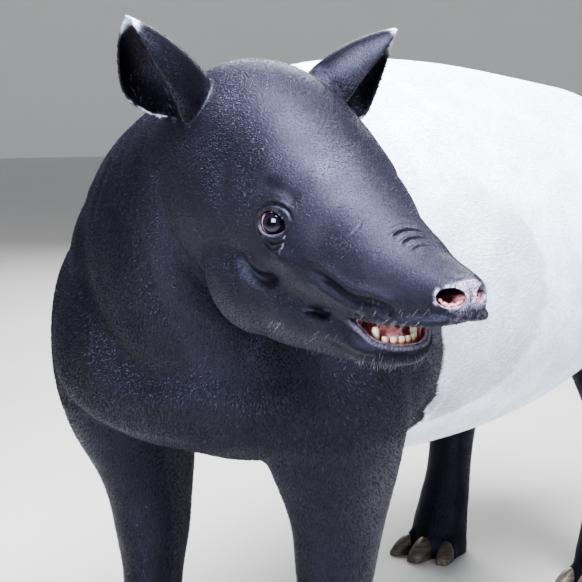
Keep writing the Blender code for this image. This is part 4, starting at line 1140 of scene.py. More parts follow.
class Graph:
    """The nodes of one material, added one after another."""

    def __init__(self, name):
        self.material = bpy.data.materials.new(name)
        self.material.use_nodes = True
        self.nodes = self.material.node_tree.nodes
        self.links = self.material.node_tree.links
        self.shader = self.nodes["Principled BSDF"]
        self.place = self.nodes.new("ShaderNodeTexCoord").outputs["Object"]

    def joined(self, value, socket):
        """Links a value's node to a socket, or sets a plain number or colour on it."""
        if isinstance(value, bpy.types.NodeSocket):
            self.links.new(value, socket)
        elif value is not None:
            plain = hasattr(value, "__len__") and len(value) == 3 and len(socket.default_value) == 4
            socket.default_value = (*value, 1.0) if plain else value

    def attribute(self, name):
        node = self.nodes.new("ShaderNodeAttribute")
        node.attribute_name = name
        return node.outputs["Fac"]

    def noise(self, scale, detail=3.0, rough=0.55, stretch=None):
        node = self.nodes.new("ShaderNodeTexNoise")
        node.inputs["Scale"].default_value = scale
        node.inputs["Detail"].default_value = detail
        node.inputs["Roughness"].default_value = rough
        place = self.place
        if stretch:
            mapping = self.nodes.new("ShaderNodeMapping")
            mapping.inputs["Scale"].default_value = stretch
            self.links.new(place, mapping.inputs["Vector"])
            place = mapping.outputs["Vector"]
        self.links.new(place, node.inputs["Vector"])
        return node.outputs["Fac"]

    def cells(self, scale, feature="F1"):
        node = self.nodes.new("ShaderNodeTexVoronoi")
        node.feature = feature
        node.inputs["Scale"].default_value = scale
        self.links.new(self.place, node.inputs["Vector"])
        return node.outputs["Distance"]

    def sum(self, operation, a, b):
        node = self.nodes.new("ShaderNodeMath")
        node.operation = operation
        self.joined(a, node.inputs[0])
        self.joined(b, node.inputs[1])
        return node.outputs[0]

    def step(self, value, low, high, to_low=0.0, to_high=1.0):
        """Carries a value softly from one range to another."""
        node = self.nodes.new("ShaderNodeMapRange")
        node.interpolation_type = "SMOOTHSTEP"
        self.joined(value, node.inputs["Value"])
        for name, number in (("From Min", low), ("From Max", high), ("To Min", to_low), ("To Max", to_high)):
            node.inputs[name].default_value = number
        return node.outputs["Result"]

    def mix(self, share, a, b):
        node = self.nodes.new("ShaderNodeMix")
        node.data_type = "RGBA"
        self.joined(share, node.inputs[0])
        self.joined(a, node.inputs[6])
        self.joined(b, node.inputs[7])
        return node.outputs[2]

    def bump(self, height, strength, distance, normal=None):
        node = self.nodes.new("ShaderNodeBump")
        node.inputs["Strength"].default_value = strength
        node.inputs["Distance"].default_value = distance
        self.joined(height, node.inputs["Height"])
        if normal is not None:
            self.links.new(normal, node.inputs["Normal"])
        return node.outputs["Normal"]

    def finish(self, colour, roughness, normal=None, **plain):
        """Feeds the shader; plain values are set on its own sockets."""
        self.joined(colour, self.shader.inputs["Base Color"])
        self.joined(roughness, self.shader.inputs["Roughness"])
        if normal is not None:
            self.links.new(normal, self.shader.inputs["Normal"])
        for name, value in plain.items():
            socket = self.shader.inputs[name.replace("_", " ")]
            socket.default_value = (*value, 1.0) if hasattr(value, "__len__") and len(value) == 3 else value
        return self.material


def coat_colour(graph, hide):
    """Black and white of the coat, as skin and hair share them, and the share of white."""
    saddle = graph.attribute("saddle")
    ragged = graph.sum("MULTIPLY_ADD", graph.noise(70, 4), 0.016)
    ragged.node.inputs[2].default_value = -0.008
    white = graph.step(graph.sum("ADD", saddle, ragged), -0.003, 0.003)
    dark = [c * 0.60 for c in hide.black]
    light = [c * 1.7 for c in hide.black]
    black = graph.mix(graph.step(graph.noise(9, 4), 0.35, 0.68), dark, light)
    # Pale flecks in the black: partly pale hairs, partly painted glints of the short coat.
    pale_fleck_and_glint = [c * 4.0 for c in hide.black]
    black = graph.mix(graph.step(graph.noise(620, 3, 0.7), 0.54, 0.72), black, pale_fleck_and_glint)
    dull = [c * 0.88 for c in hide.saddle]
    bright = [min(1.0, c * 1.06) for c in hide.saddle]
    pale = graph.mix(graph.step(graph.noise(14, 5), 0.36, 0.66), dull, bright)
    black = graph.mix(graph.attribute("ear_tip"), black, bright)
    return graph.mix(white, black, pale), white


def hide_material(hide):
    """Skin under the coat, with its bare nose, lips and lids; painted shade in its creases, and pale grain flecks that
    are partly painted glints.
    """
    graph = Graph("hide")
    colour, white = coat_colour(graph, hide)
    grain = graph.noise(1100, 2, 0.6)
    # Pale grain flecks: partly pale hairs, partly painted glints of the short coat.
    fleck_and_glint_colour = graph.mix(white, (0.033, 0.031, 0.045), (0.88, 0.91, 0.95))
    colour = graph.mix(graph.sum("MULTIPLY", graph.step(grain, 0.52, 0.72), 0.6), colour, fleck_and_glint_colour)
    colour = graph.mix(graph.sum("MULTIPLY", graph.attribute("ear_inner"), 0.45), colour, hide.ear_inside)
    # Painted shade: the creases and grooves darken to near black.
    colour = graph.mix(graph.sum("MULTIPLY", graph.attribute("crease"), 0.85), colour, (0.002, 0.002, 0.003))
    blotch = graph.step(graph.noise(420, 3), 0.44, 0.60)
    mottled = graph.mix(blotch, hide.pale_skin, [c * 0.38 for c in hide.pale_skin])
    colour = graph.mix(graph.attribute("pale"), colour, mottled)
    flesh = graph.mix(graph.step(graph.noise(130, 4), 0.38, 0.64), hide.pink_skin, [c * 0.6 for c in hide.pink_skin])
    pink = graph.attribute("pink")
    colour = graph.mix(pink, colour, flesh)
    rough = graph.step(graph.noise(32, 4), 0.30, 0.70, 0.40, 0.54)
    rough = graph.sum("ADD", rough, graph.sum("MULTIPLY", white, 0.16))
    rough = graph.sum("SUBTRACT", rough, graph.sum("MULTIPLY", pink, 0.22))
    normal = graph.bump(graph.noise(64, 4), 0.30, 0.0016)
    normal = graph.bump(graph.cells(330), 0.22, 0.0006, normal)
    normal = graph.bump(grain, 0.45, 0.0006, normal)
    return graph.finish(colour, rough, normal, Specular_IOR_Level=0.45, Specular_Tint=(0.68, 0.70, 1.0),
                        Sheen_Weight=0.05, Sheen_Roughness=0.45, Sheen_Tint=(0.64, 0.60, 1.0))


def hair_material(hide):
    """Short hair: each tuft a little lighter or darker than the next, as painted glints and painted shade; a few of
    them pale, partly pale hairs and partly painted glints; painted shade in the creases.
    """
    graph = Graph("hair")
    colour, white = coat_colour(graph, hide)
    tone = graph.attribute("tone")
    # Painted glints on the brighter tufts and painted shade on the darker ones, picked at random by each tuft's tone.
    painted_glint = graph.mix(white, (0.020, 0.018, 0.028), (0.86, 0.89, 0.94))
    colour = graph.mix(graph.sum("MULTIPLY", graph.step(tone, 0.55, 0.95), 0.60), colour, painted_glint)
    painted_shade = graph.mix(white, (0.001, 0.001, 0.002), (0.50, 0.54, 0.60))
    colour = graph.mix(graph.sum("MULTIPLY", graph.step(tone, 0.50, 0.0), 0.65), colour, painted_shade)
    # A few tufts turn pale: partly pale hairs, partly painted glints.
    pale_fleck_and_glint = graph.mix(white, (0.044, 0.042, 0.054), (0.90, 0.92, 0.95))
    colour = graph.mix(graph.step(tone, 0.972, 0.986), colour, pale_fleck_and_glint)
    # Painted shade: hair in the creases darkens to near black.
    colour = graph.mix(graph.step(graph.attribute("crease"), 0.05, 0.60), colour, (0.001, 0.001, 0.001))
    rough = graph.sum("ADD", graph.step(tone, 0.0, 1.0, 0.52, 0.38), graph.sum("MULTIPLY", white, 0.14))
    return graph.finish(colour, rough, None, Specular_IOR_Level=0.45, Specular_Tint=(0.68, 0.70, 1.0),
                        Sheen_Weight=0.05, Sheen_Roughness=0.40, Sheen_Tint=(0.64, 0.60, 1.0))


def long_hair_material(name, root, tip):
    """Stiff hairs, darker at the root and paler towards the tip."""
    graph = Graph(name)
    colour = graph.mix(graph.attribute("along"), root, tip)
    colour = graph.mix(graph.sum("MULTIPLY", graph.attribute("tone"), 0.4), colour, root)
    return graph.finish(colour, 0.38, None, Specular_IOR_Level=0.6)


class Tree:
    """A tree of geometry nodes, built one node after another."""

    def __init__(self, name):
        self.tree = bpy.data.node_groups.new(name, "GeometryNodeTree")
        self.names = {}
        self.input("Surface", "Geometry")
        self.tree.interface.new_socket("Geometry", in_out="OUTPUT", socket_type="NodeSocketGeometry")
        self.start = None

    def input(self, name, kind, default=None):
        """A named input of the whole tree."""
        socket = self.tree.interface.new_socket(name, in_out="INPUT", socket_type="NodeSocket" + kind)
        if default is not None:
            socket.default_value = default
        self.names[name] = socket.identifier

    def given(self, name):
        self.start = self.start or self.tree.nodes.new("NodeGroupInput")
        return self.start.outputs[name]

    def add(self, kind, inputs=(), output=None, **settings):
        """Adds a node; inputs are pairs of a socket's name or number and its value."""
        node = self.tree.nodes.new(kind)
        for name, value in settings.items():
            setattr(node, name, value)
        live = [s for s in node.inputs if s.enabled]
        for key, value in inputs:
            socket = live[key] if isinstance(key, int) else next(s for s in live if s.name == key)
            if isinstance(value, bpy.types.NodeSocket):
                self.tree.links.new(value, socket)
            else:
                socket.default_value = value
        open_ones = [s for s in node.outputs if s.enabled]
        return next(s for s in open_ones if s.name == output) if output else open_ones[0]

    def stored(self, name, kind="FLOAT"):
        return self.add("GeometryNodeInputNamedAttribute", [("Name", name)], data_type=kind)

    def keep(self, geometry, name, value, kind="FLOAT", domain="POINT"):
        pairs = [("Geometry", geometry), ("Name", name), ("Value", value)]
        return self.add("GeometryNodeStoreNamedAttribute", pairs, data_type=kind, domain=domain)

    def maths(self, operation, a, b):
        return self.add("ShaderNodeMath", [(0, a), (1, b)], operation=operation)

    def random(self, low, high, salt):
        seed = self.maths("ADD", self.given("Seed"), salt)
        return self.add("FunctionNodeRandomValue", [("Min", low), ("Max", high), ("Seed", seed)], data_type="FLOAT")

    def xyz(self, x, y, z):
        return self.add("ShaderNodeCombineXYZ", [("X", x), ("Y", y), ("Z", z)])

    def finish(self, geometry):
        end = self.tree.nodes.new("NodeGroupOutput")
        self.tree.links.new(geometry, end.inputs[0])
        return self


def hairs_tree():
    """Scatters a strand over a surface, laid along the surface's own lie of coat, and makes it real."""
    tree = Tree("hairs")
    tree.input("Strand", "Object")
    tree.input("Hairs per Square Metre", "Float", 100000.0)
    tree.input("Length", "Float", 0.008)
    tree.input("Uneven Length", "Float", 0.3)
    tree.input("Width", "Float", 0.001)
    tree.input("Lift", "Float", 0.15)
    tree.input("Swing", "Float", 0.3)
    tree.input("Seed", "Int", 1)
    tree.input("Finish", "Material")
    density = tree.maths("MULTIPLY", tree.given("Hairs per Square Metre"), tree.stored("hairy"))
    spread = [("Mesh", tree.given("Surface")), ("Density", density), ("Seed", tree.given("Seed"))]
    points = tree.add("GeometryNodeDistributePointsOnFaces", spread, "Points")
    normal = points.node.outputs["Normal"]
    points = tree.keep(points, "root_uv", tree.stored("OFBake", "FLOAT_VECTOR"), "FLOAT_VECTOR")
    points = tree.keep(points, "tone", tree.random(0.0, 1.0, 3))
    points = tree.add("GeometryNodeRemoveAttribute", [("Geometry", points), ("Name", "OFBake")])
    axes = [("Primary Axis", normal), ("Secondary Axis", tree.stored("lie", "FLOAT_VECTOR"))]
    along_coat = tree.add("FunctionNodeAxesToRotation", axes, primary_axis="Z", secondary_axis="X")
    lift = tree.maths("MULTIPLY", tree.given("Lift"), tree.random(-1.5, -0.5, 5))
    swing = tree.maths("MULTIPLY", tree.given("Swing"), tree.random(-1.0, 1.0, 7))
    turn = tree.add("FunctionNodeEulerToRotation", [("Euler", tree.xyz(0.0, lift, swing))])
    turned = tree.add("FunctionNodeRotateRotation", [(0, along_coat), (1, turn)], rotation_space="LOCAL")
    uneven = tree.maths("MULTIPLY", tree.given("Uneven Length"), tree.random(-1.0, 1.0, 9))
    long = tree.maths("MULTIPLY", tree.given("Length"), tree.maths("ADD", 1.0, uneven))
    wide = tree.maths("MULTIPLY", tree.given("Width"), tree.random(0.7, 1.3, 11))
    strand = tree.add("GeometryNodeObjectInfo", [("Object", tree.given("Strand"))], "Geometry")
    pairs = [("Points", points), ("Instance", strand), ("Rotation", turned), ("Scale", tree.xyz(long, wide, long))]
    hairs = tree.add("GeometryNodeInstanceOnPoints", pairs)
    hairs = tree.add("GeometryNodeRealizeInstances", [("Geometry", hairs)])
    across = tree.maths("MULTIPLY", tree.stored("across"), PATCH)
    along = tree.maths("MULTIPLY", tree.stored("along"), PATCH)
    pairs = [(0, tree.stored("root_uv", "FLOAT_VECTOR")), (1, tree.xyz(across, along, 0.0))]
    place = tree.add("ShaderNodeVectorMath", pairs, operation="ADD")
    hairs = tree.keep(hairs, "OFBake", place, "FLOAT2", "CORNER")
    hairs = tree.add("GeometryNodeSetMaterial", [("Geometry", hairs), ("Material", tree.given("Finish"))])
    return tree.finish(hairs)


def strand_object(name, rows):
    """A unit strand along x: rows of its place along, half width and height; the last row is its tip."""
    bm = bmesh.new()
    marks, made = [], []
    for x, half, z in rows:
        made.append([bm.verts.new((x, s * half, z)) for s in ((-1, 1) if half else (0,))])
        marks += [(x, s * 0.5) for s in ((-1, 1) if half else (0,))]
    for first, second in zip(made, made[1:]):
        bm.faces.new(first + second[::-1])
    strand = linked(name, bm)
    store(strand.data, "along", np.array([m[0] for m in marks]))
    store(strand.data, "across", np.array([m[1] for m in marks]))
    return strand


def grown(surface, tree, name, **values):
    """Grows hairs on a surface and returns them as one plain mesh; the surface is removed."""
    modifier = surface.modifiers.new("hairs", "NODES")
    modifier.node_group = tree.tree
    for key, value in values.items():
        modifier[tree.names[key.replace("_", " ")]] = value
    applied(surface)
    surface.name = name
    for spare in ("root_uv", "lie", "hairy", "pale", "pink", "ear_inner", "across"):
        if spare in surface.data.attributes:
            surface.data.attributes.remove(surface.data.attributes[spare])
    if not surface.data.polygons:
        raise RuntimeError(f"no hair grew for {name}")
    return surface


def area_of(mesh, weight):
    """The area of a mesh's triangles, in square metres, weighed by how hairy each is."""
    corner = np.empty(len(mesh.loops), np.int32)
    mesh.loops.foreach_get("vertex_index", corner)
    corner = corner.reshape(-1, 3)
    size = np.empty(len(mesh.polygons), np.float32)
    mesh.polygons.foreach_get("area", size)
    return float((size * weight[corner].mean(1)).sum())


def numbers_of(mesh, name):
    values = np.empty(len(mesh.vertices), np.float32)
    mesh.attributes[name].data.foreach_get("value", values)
    return values.astype(float)


def coat_regions(points):
    """Where each piece of the coat grows: its name, a mask of the skin's points, and which lengths it takes."""
    local = in_head(points)
    x, y, z = points.T
    on_head = (local[:, 0] > -0.10) & (local[:, 2] > -0.36)
    by_ears = (local[:, 0] > -0.16) & (local[:, 2] > -0.10)
    ears = np.zeros(len(points), bool)
    for name in SIDES:
        share, _, _ = ear_place(local, name)
        ears |= (share > 0.08) & (EAR_SIDE[name] * local[:, 1] > 0.055) & (local[:, 0] < 0.14) & by_ears
    face = on_head & ~ears & (local[:, 0] > 0.16)
    skull = on_head & ~ears & ~face
    rest = ~on_head & ~ears
    legs = rest & (z < 0.50)
    front = rest & ~legs & (x > 0.20)
    trunk = rest & ~legs & ~front
    return (
        ("coat_face", face, "face"),
        ("coat_skull", skull, "head"),
        ("coat_ears", ears, "ears"),
        ("coat_neck", front & (x > 0.36), "body"),
        ("coat_shoulders", front & (x <= 0.36), "body"),
        ("coat_left", trunk & (y > 0) & (x > -0.42), "body"),
        ("coat_right", trunk & (y <= 0) & (x > -0.42), "body"),
        ("coat_rump", trunk & (x <= -0.42), "body"),
        ("coat_forelegs", legs & (x > 0), "legs"),
        ("coat_hindlegs", legs & (x <= 0), "legs"),
    )


def finished(piece, slot, *materials, smooth=True):
    """Gives a piece its materials, and lets it ride on the animal. The slot it is handed is not used."""
    if materials:
        piece.data.materials.clear()
        for material in materials:
            piece.data.materials.append(material)
    if smooth:
        piece.data.shade_smooth()
    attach(piece, "root")
    return piece


def standing(piece):
    """Moves a mesh from the animal's frame over the middle of its box."""
    piece.data.transform(Matrix.Translation(-BOX_MIDDLE))
    return piece


def eyeball(side, settings):
    """One eye, with a clear front that stands a little proud, and how far each point is from its pole."""
    bm = bmesh.new()
    turn = Matrix.Rotation(math.radians(90), 4, "Y")
    ball(bm, turn, [1.0] * 3, 96, 64)
    piece = linked("eye", bm)
    points = coordinates(piece.data)
    angle = np.degrees(np.arctan2(np.hypot(points[:, 1], points[:, 2]), points[:, 0]))
    bulge = settings.bulge * (1 - step_between(18, 46, angle))
    put_back(piece.data, points * ((EYE_RADIUS - 0.0002) * (1 + bulge))[:, None])
    store(piece.data, "from_pole", angle)
    store(piece.data, "to_rear", -points[:, 1])
    store(piece.data, "upward", points[:, 2])
    piece.data.transform(HEAD @ eye_matrix(side))
    return standing(piece)


def eye_material(settings):
    """A dark eye: hardly any edge to its pupil, a black ring round the iris, brown and pink behind it."""
    graph = Graph("eye")
    angle = graph.attribute("from_pole")
    rear, up = graph.attribute("to_rear"), graph.attribute("upward")
    streaks = graph.noise(900, 4, 0.6)
    iris = graph.mix(graph.step(streaks, 0.35, 0.68), [c * 0.45 for c in settings.iris], settings.iris)
    colour = graph.mix(graph.step(angle, 12.0, 21.0), (0.003, 0.002, 0.004), iris)
    colour = graph.mix(graph.step(angle, 28, 31), colour, (0.001, 0.001, 0.001))
    brown = graph.mix(graph.step(graph.sum("ADD", rear, up), -0.10, 0.30), (0.012, 0.006, 0.006), settings.rim)
    colour = graph.mix(graph.step(angle, 33, 36), colour, brown)
    pink = graph.mix(graph.step(graph.sum("SUBTRACT", rear, up), 0.05, 0.45), (0.020, 0.012, 0.013), settings.white)
    colour = graph.mix(graph.step(angle, 38, 42), colour, pink)
    normal = graph.bump(graph.noise(70, 2), 0.06, 0.0004)
    return graph.finish(colour, 0.05, normal, Coat_Weight=0.3, Coat_Roughness=0.02, Specular_IOR_Level=0.4)


def crown(tooth, side):
    """One tooth with a waisted neck, a swollen crown and a worn, thinner edge."""
    outline = np.array(tooth_rings(*tooth, side)[1])
    middle = outline.mean(0)
    rings = []
    for rise, size in CROWN:
        place = [*middle[:2], GUM_TOP + (rise if rise < 0 else rise * tooth[2])]
        rings.append([tuple(p) for p in place + (outline - middle) * size])
    piece = fine_rings(rings, "one_tooth")
    store(piece.data, "height", (coordinates(piece.data)[:, 2] - GUM_TOP) / tooth[2])
    return piece


def nostril_flap(side):
    """A wavy fold of wet skin along the lower wall inside a nostril."""
    frame = nostril_matrix(side)
    path = []
    for i, a in enumerate(np.radians(np.linspace(*FLAP_ARC, 15))):
        wave = math.sin(2.1 * i)
        size = FLAP_SIZE - FLAP_WAVE / NOSTRIL_HIGH * wave
        path.append(frame @ Vector((FLAP_DEPTH + FLAP_WAVE * wave, side * NOSTRIL_LONG * size * math.cos(a),
                                    NOSTRIL_HIGH * size * math.sin(a))))
    return fine_rings(tube_rings(path, FLAP_THICK), "flap")


def fine_rings(rings, name):
    """A closed mesh through rings, rounded by subdivision."""
    bm = bmesh.new()
    loft(bm, rings)
    piece = linked(name, bm)
    smooth = piece.modifiers.new("round", "SUBSURF")
    smooth.levels = smooth.render_levels = 2
    return applied(piece)


def merged(pieces, name):
    """One object of several meshes."""
    bm = bmesh.new()
    for piece in pieces:
        bm.from_mesh(piece.data)
        bpy.data.objects.remove(piece)
    bmesh.ops.recalc_face_normals(bm, faces=bm.faces)
    return linked(name, bm)


def gum_material(settings):
    graph = Graph("gum")
    blotch = graph.step(graph.noise(120, 4), 0.38, 0.64)
    colour = graph.mix(blotch, settings.gum, [c * 0.62 for c in settings.gum])
    normal = graph.bump(graph.noise(500, 3), 0.25, 0.0005)
    return graph.finish(colour, 0.30, normal, Subsurface_Weight=0.25, Subsurface_Scale=0.003, Coat_Weight=0.4,
                        Coat_Roughness=0.12)


def tongue_material(settings):
    graph = Graph("tongue")
    colour = graph.mix(graph.step(graph.noise(90, 4), 0.36, 0.66), settings.tongue, [c * 0.6 for c in settings.tongue])
    normal = graph.bump(graph.cells(900), 0.45, 0.0006)
    return graph.finish(colour, 0.34, normal, Subsurface_Weight=0.25, Subsurface_Scale=0.004, Coat_Weight=0.3,
                        Coat_Roughness=0.15)


def tooth_material(settings):
    """Ivory, stained brown near the gum and in fine upright streaks."""
    graph = Graph("tooth")
    streak = graph.step(graph.noise(260, 4, 0.6, (1.0, 1.0, 0.25)), 0.40, 0.68)
    colour = graph.mix(graph.sum("MULTIPLY", streak, 0.30), settings.ivory, settings.stain)
    colour = graph.mix(graph.step(graph.attribute("height"), 0.40, 0.05), colour, settings.stain)
    normal = graph.bump(graph.noise(400, 3, 0.5, (1.0, 1.0, 0.3)), 0.18, 0.0003)
    return graph.finish(colour, 0.22, normal, Subsurface_Weight=0.15, Subsurface_Scale=0.002, Coat_Weight=0.4,
                        Coat_Roughness=0.08)


def hoof_material(settings):
    """Horn with rings of growth, fine upright grain and a worn, paler lower edge."""
    graph = Graph("hoof")
    grain = graph.noise(520, 4, 0.6, (1.0, 1.0, 0.18))
    rings = graph.noise(95, 3, 0.5, (0.25, 0.25, 1.6))
    colour = graph.mix(graph.step(grain, 0.32, 0.70), settings.horn, [c * 2.4 for c in settings.horn])
    colour = graph.mix(graph.sum("MULTIPLY", graph.step(rings, 0.45, 0.66), 0.5), colour, settings.worn)
    low = graph.nodes.new("ShaderNodeSeparateXYZ")
    graph.links.new(graph.place, low.inputs[0])
    worn = graph.sum("MULTIPLY", graph.step(low.outputs["Z"], 0.012, 0.001), graph.step(graph.noise(160, 4), 0.35, 0.6))
    colour = graph.mix(worn, colour, settings.worn)
    rough = graph.step(grain, 0.3, 0.7, 0.34, 0.52)
    normal = graph.bump(rings, 0.35, 0.0012)
    normal = graph.bump(grain, 0.30, 0.0004, normal)
    return graph.finish(colour, rough, normal, Specular_IOR_Level=0.5)


def hoof(foot, side, toe):
    """One hoof, rounded, with a slightly flared wall and a flat sole."""
    rings = []
    start, end = HOOF_STARTS + 0.0005, HOOF_STARTS + toe[3]
    for ring in toe_rings(foot, side, toe, start, end, 0.0, blunt=True, count=14):
        rings.append(ring)
    bm = bmesh.new()
    loft(bm, rings)
    piece = linked("hoof", bm)
    bevel = piece.modifiers.new("worn_edge", "BEVEL")
    bevel.width = 0.0018
    bevel.segments = 2
    bevel.limit_method = "ANGLE"
    bevel.angle_limit = math.radians(40)
    return applied(piece)


def floor_material(settings):
    graph = Graph("floor")
    tint = [c * 0.965 for c in settings.floor]
    colour = graph.mix(graph.step(graph.noise(2.2, 3), 0.35, 0.68), settings.floor, tint)
    away = graph.nodes.new("ShaderNodeVectorMath")
    away.operation = "LENGTH"
    graph.links.new(graph.place, away.inputs[0])
    # Painted light: the floor turns paler away from the middle and up into the wall, making up for the lamp light that
    # falls off there.
    colour = graph.mix(graph.step(away.outputs["Value"], 4.0, 11.0), colour, (0.90, 0.89, 0.87))
    return graph.finish(colour, 0.75, graph.bump(graph.noise(120, 2), 0.05, 0.0005))


def lamp(name, place, aim, size, power, colour):
    """A soft square light that faces a point."""
    data = bpy.data.lights.new(name, "AREA")
    data.shape = "RECTANGLE"
    data.size, data.size_y = size
    data.energy = power
    data.color = colour
    light = bpy.data.objects.new(name, data)
    bpy.context.scene.collection.objects.link(light)
    light.location = place
    light.rotation_euler = (Vector(aim) - Vector(place)).to_track_quat("-Z", "Y").to_euler()
    return light


def photo_camera(settings):
    """A long lens, a little above the head and in front of its left side."""
    away, raised = settings.camera_turn, settings.camera_rise
    ahead = Vector((-math.cos(away) * math.cos(raised), -math.sin(away) * math.cos(raised), -math.sin(raised)))
    right = Vector((-math.sin(away), math.cos(away), 0.0))
    down = ahead.cross(right)
    across, below, far = settings.head_from_camera
    place = POLL - BOX_MIDDLE - (right * across + down * below + ahead * far)
    data = bpy.data.cameras.new("camera")
    data.lens = settings.lens
    data.sensor_width = 36.0
    data.clip_end = 200.0
    camera = bpy.data.objects.new("camera", data)
    bpy.context.scene.collection.objects.link(camera)
    turned = Matrix((right, -down, -ahead)).transposed().to_4x4()
    camera.matrix_world = Matrix.Translation(place) @ turned
    return camera


def fine_places(points):
    """Marks the points round the eyes, nostrils, lips and snout's wrinkles, where the skin is drawn finer."""
    local = in_head(points)
    fine = np.zeros(len(points), bool)
    for side in SIDES.values():
        fine |= np.linalg.norm(local - np.array(mirrored(EYE, side)), axis=1) < 0.042
        fine |= np.linalg.norm(local - np.array(mirrored(NOSTRIL, side)), axis=1) < 0.034
    x, y, z = local.T
    fine |= (x > 0.31) & (x < 0.395) & (z > -0.170) & (np.abs(y) < 0.045)
    fine |= (x > 0.20) & (x < 0.37) & (z < -0.195) & (z > -0.275)
    return fine


def known_tree(group):
    """A finished tree, with the identifiers of its named inputs."""
    tree = Tree.__new__(Tree)
    tree.tree = group
    sockets = [i for i in group.interface.items_tree if i.item_type == "SOCKET" and i.in_out == "INPUT"]
    tree.names = {s.name: s.identifier for s in sockets}
    return tree


def upper_lip_place(local, points, normals):
    x, y, z = local.T
    return (x > 0.33) & (x < 0.435) & (z < -0.188) & (z > -0.216) & (np.abs(y) > 0.02) & (normals[:, 2] < 0.5)


def chin_place(local, points, normals):
    x, y, z = local.T
    return (x > 0.285) & (x < 0.352) & (z < -0.255) & (normals[:, 2] < 0.4)


def jaw_place(local, points, normals):
    x, y, z = local.T
    return (x > 0.17) & (x < 0.285) & (z < -0.235) & (normals[:, 2] < 0.2)


def lash_place(local, points, normals):
    near = np.zeros(len(local), bool)
    for side in SIDES.values():
        eye = (np.array(eye_matrix(side).inverted()) @ np.c_[local, np.ones(len(local))].T).T
        around = np.hypot(eye[:, 1] / LID_LONG, eye[:, 2] / LID_HIGH)
        near |= (np.abs(eye[:, 0]) < 0.03) & (around > 1.15) & (around < 1.45) & (eye[:, 2] > 0.002)
    return near


def ear_rim_place(local, points, normals):
    near = np.zeros(len(local), bool)
    for name in SIDES:
        share, opens, _ = ear_place(local, name)
        side = EAR_SIDE[name] * local[:, 1] > 0.055
        low = (share > 0.05) & (share < 0.50) & (local[:, 0] < EAR_ROOT[name][0] - 0.015)
        near |= side & low & (np.abs(normals @ opens) < 0.45)
    return near


def tail_place(local, points, normals):
    way = TAIL_WAY.normalized()
    share = (points - np.array(TAIL_ROOT)) @ np.array(way) / TAIL_LENGTH
    return (share > 0.75) & (points[:, 0] < -0.78) & (points[:, 2] > 0.55) & (np.abs(points[:, 1]) < 0.05)


# Stiff hairs: name, where they grow, the way they lie in the head's frame, share of the longest length,
# how many, width, lift in degrees
WHISKERS = (
    ("whiskers_upper_lip", upper_lip_place, (-0.35, 0.0, -1.0), 0.85, 150, 0.00042, 26),
    ("whiskers_chin", chin_place, (-0.1, 0.0, -1.0), 1.0, 110, 0.00042, 32),
    ("whiskers_jaw", jaw_place, (-0.6, 0.0, -0.8), 0.85, 90, 0.00042, 26),
    ("lashes", lash_place, (0.4, 0.0, -0.9), 0.55, 110, 0.00035, 40),
    ("fringe_ears", ear_rim_place, (-0.6, 0.0, -0.5), 0.60, 420, 0.00045, 25),
    ("tuft_tail", tail_place, (-0.9, 0.5, -0.9), 2.2, 320, 0.0008, 12),
)


class HideSettings(bpy.types.PropertyGroup):
    """The skin under the coat."""
    black: FloatVectorProperty(name="Black", description="Skin and coat of the head, front and legs",
                               subtype="COLOR", default=(0.0058, 0.0053, 0.0080), min=0, max=1)
    saddle: FloatVectorProperty(name="Saddle", description="The white of the saddle and rump",
                                subtype="COLOR", default=(0.78, 0.84, 0.94), min=0, max=1)
    ear_inside: FloatVectorProperty(name="Inside of the ears", description="Bare skin in the cups of the ears",
                                    subtype="COLOR", default=(0.060, 0.050, 0.062), min=0, max=1)
    pale_skin: FloatVectorProperty(name="Nose", description="Bare mottled skin of the nose, lips and lids",
                                   subtype="COLOR", default=(0.47, 0.42, 0.55), min=0, max=1)
    pink_skin: FloatVectorProperty(name="Mouth lining", description="Wet skin in the mouth and nostrils",
                                   subtype="COLOR", default=(0.82, 0.40, 0.42), min=0, max=1)
    triangles: IntProperty(name="Triangles", description="Kept in the skin", default=192000, min=20000, max=198000)
    head_voxel: FloatProperty(name="Head detail", description="Size of the cells that the head is made from",
                              subtype="DISTANCE", unit="LENGTH", default=0.0027, min=0.0015, max=0.01)
    body_voxel: FloatProperty(name="Body detail", description="Size of the cells that the body is made from",
                              subtype="DISTANCE", unit="LENGTH", default=0.0085, min=0.004, max=0.02)


class CoatSettings(bpy.types.PropertyGroup):
    """The short coat."""
    face: FloatProperty(name="Face", description="Length of hair on the face", subtype="DISTANCE",
                        unit="LENGTH", default=0.0028, min=0.001, max=0.05)
    head: FloatProperty(name="Head", description="Length of hair on the crown and cheeks", subtype="DISTANCE",
                        unit="LENGTH", default=0.0045, min=0.001, max=0.05)
    ears: FloatProperty(name="Ears", description="Length of hair on the ears", subtype="DISTANCE",
                        unit="LENGTH", default=0.0040, min=0.001, max=0.05)
    body: FloatProperty(name="Body", description="Length of hair on the neck and trunk", subtype="DISTANCE",
                        unit="LENGTH", default=0.0075, min=0.001, max=0.05)
    legs: FloatProperty(name="Legs", description="Length of hair on the legs", subtype="DISTANCE",
                        unit="LENGTH", default=0.0062, min=0.001, max=0.05)
    lift: FloatProperty(name="Lift", description="How far the hair stands off the skin", subtype="ANGLE",
                        unit="ROTATION", default=math.radians(8), min=0, max=1.5)
    most: IntProperty(name="Hairs in a piece", description="Most hairs in one piece of the coat",
                      default=48000, min=100, max=60000)
    seed: IntProperty(name="Seed", description="Changes the random places of the hairs", default=4, min=0, max=9999)


class WhiskerSettings(bpy.types.PropertyGroup):
    """Longer stiff hairs of the lips, chin, lids and ears."""
    length: FloatProperty(name="Length", description="Length of the longest whiskers", subtype="DISTANCE",
                          unit="LENGTH", default=0.012, min=0.002, max=0.1)
    root: FloatVectorProperty(name="Root", description="Colour at the root", subtype="COLOR",
                              default=(0.04, 0.04, 0.045), min=0, max=1)
    tip: FloatVectorProperty(name="Tip", description="Colour at the tip", subtype="COLOR",
                             default=(0.32, 0.32, 0.34), min=0, max=1)
    seed: IntProperty(name="Seed", description="Changes the random places of the whiskers", default=11, min=0, max=9999)


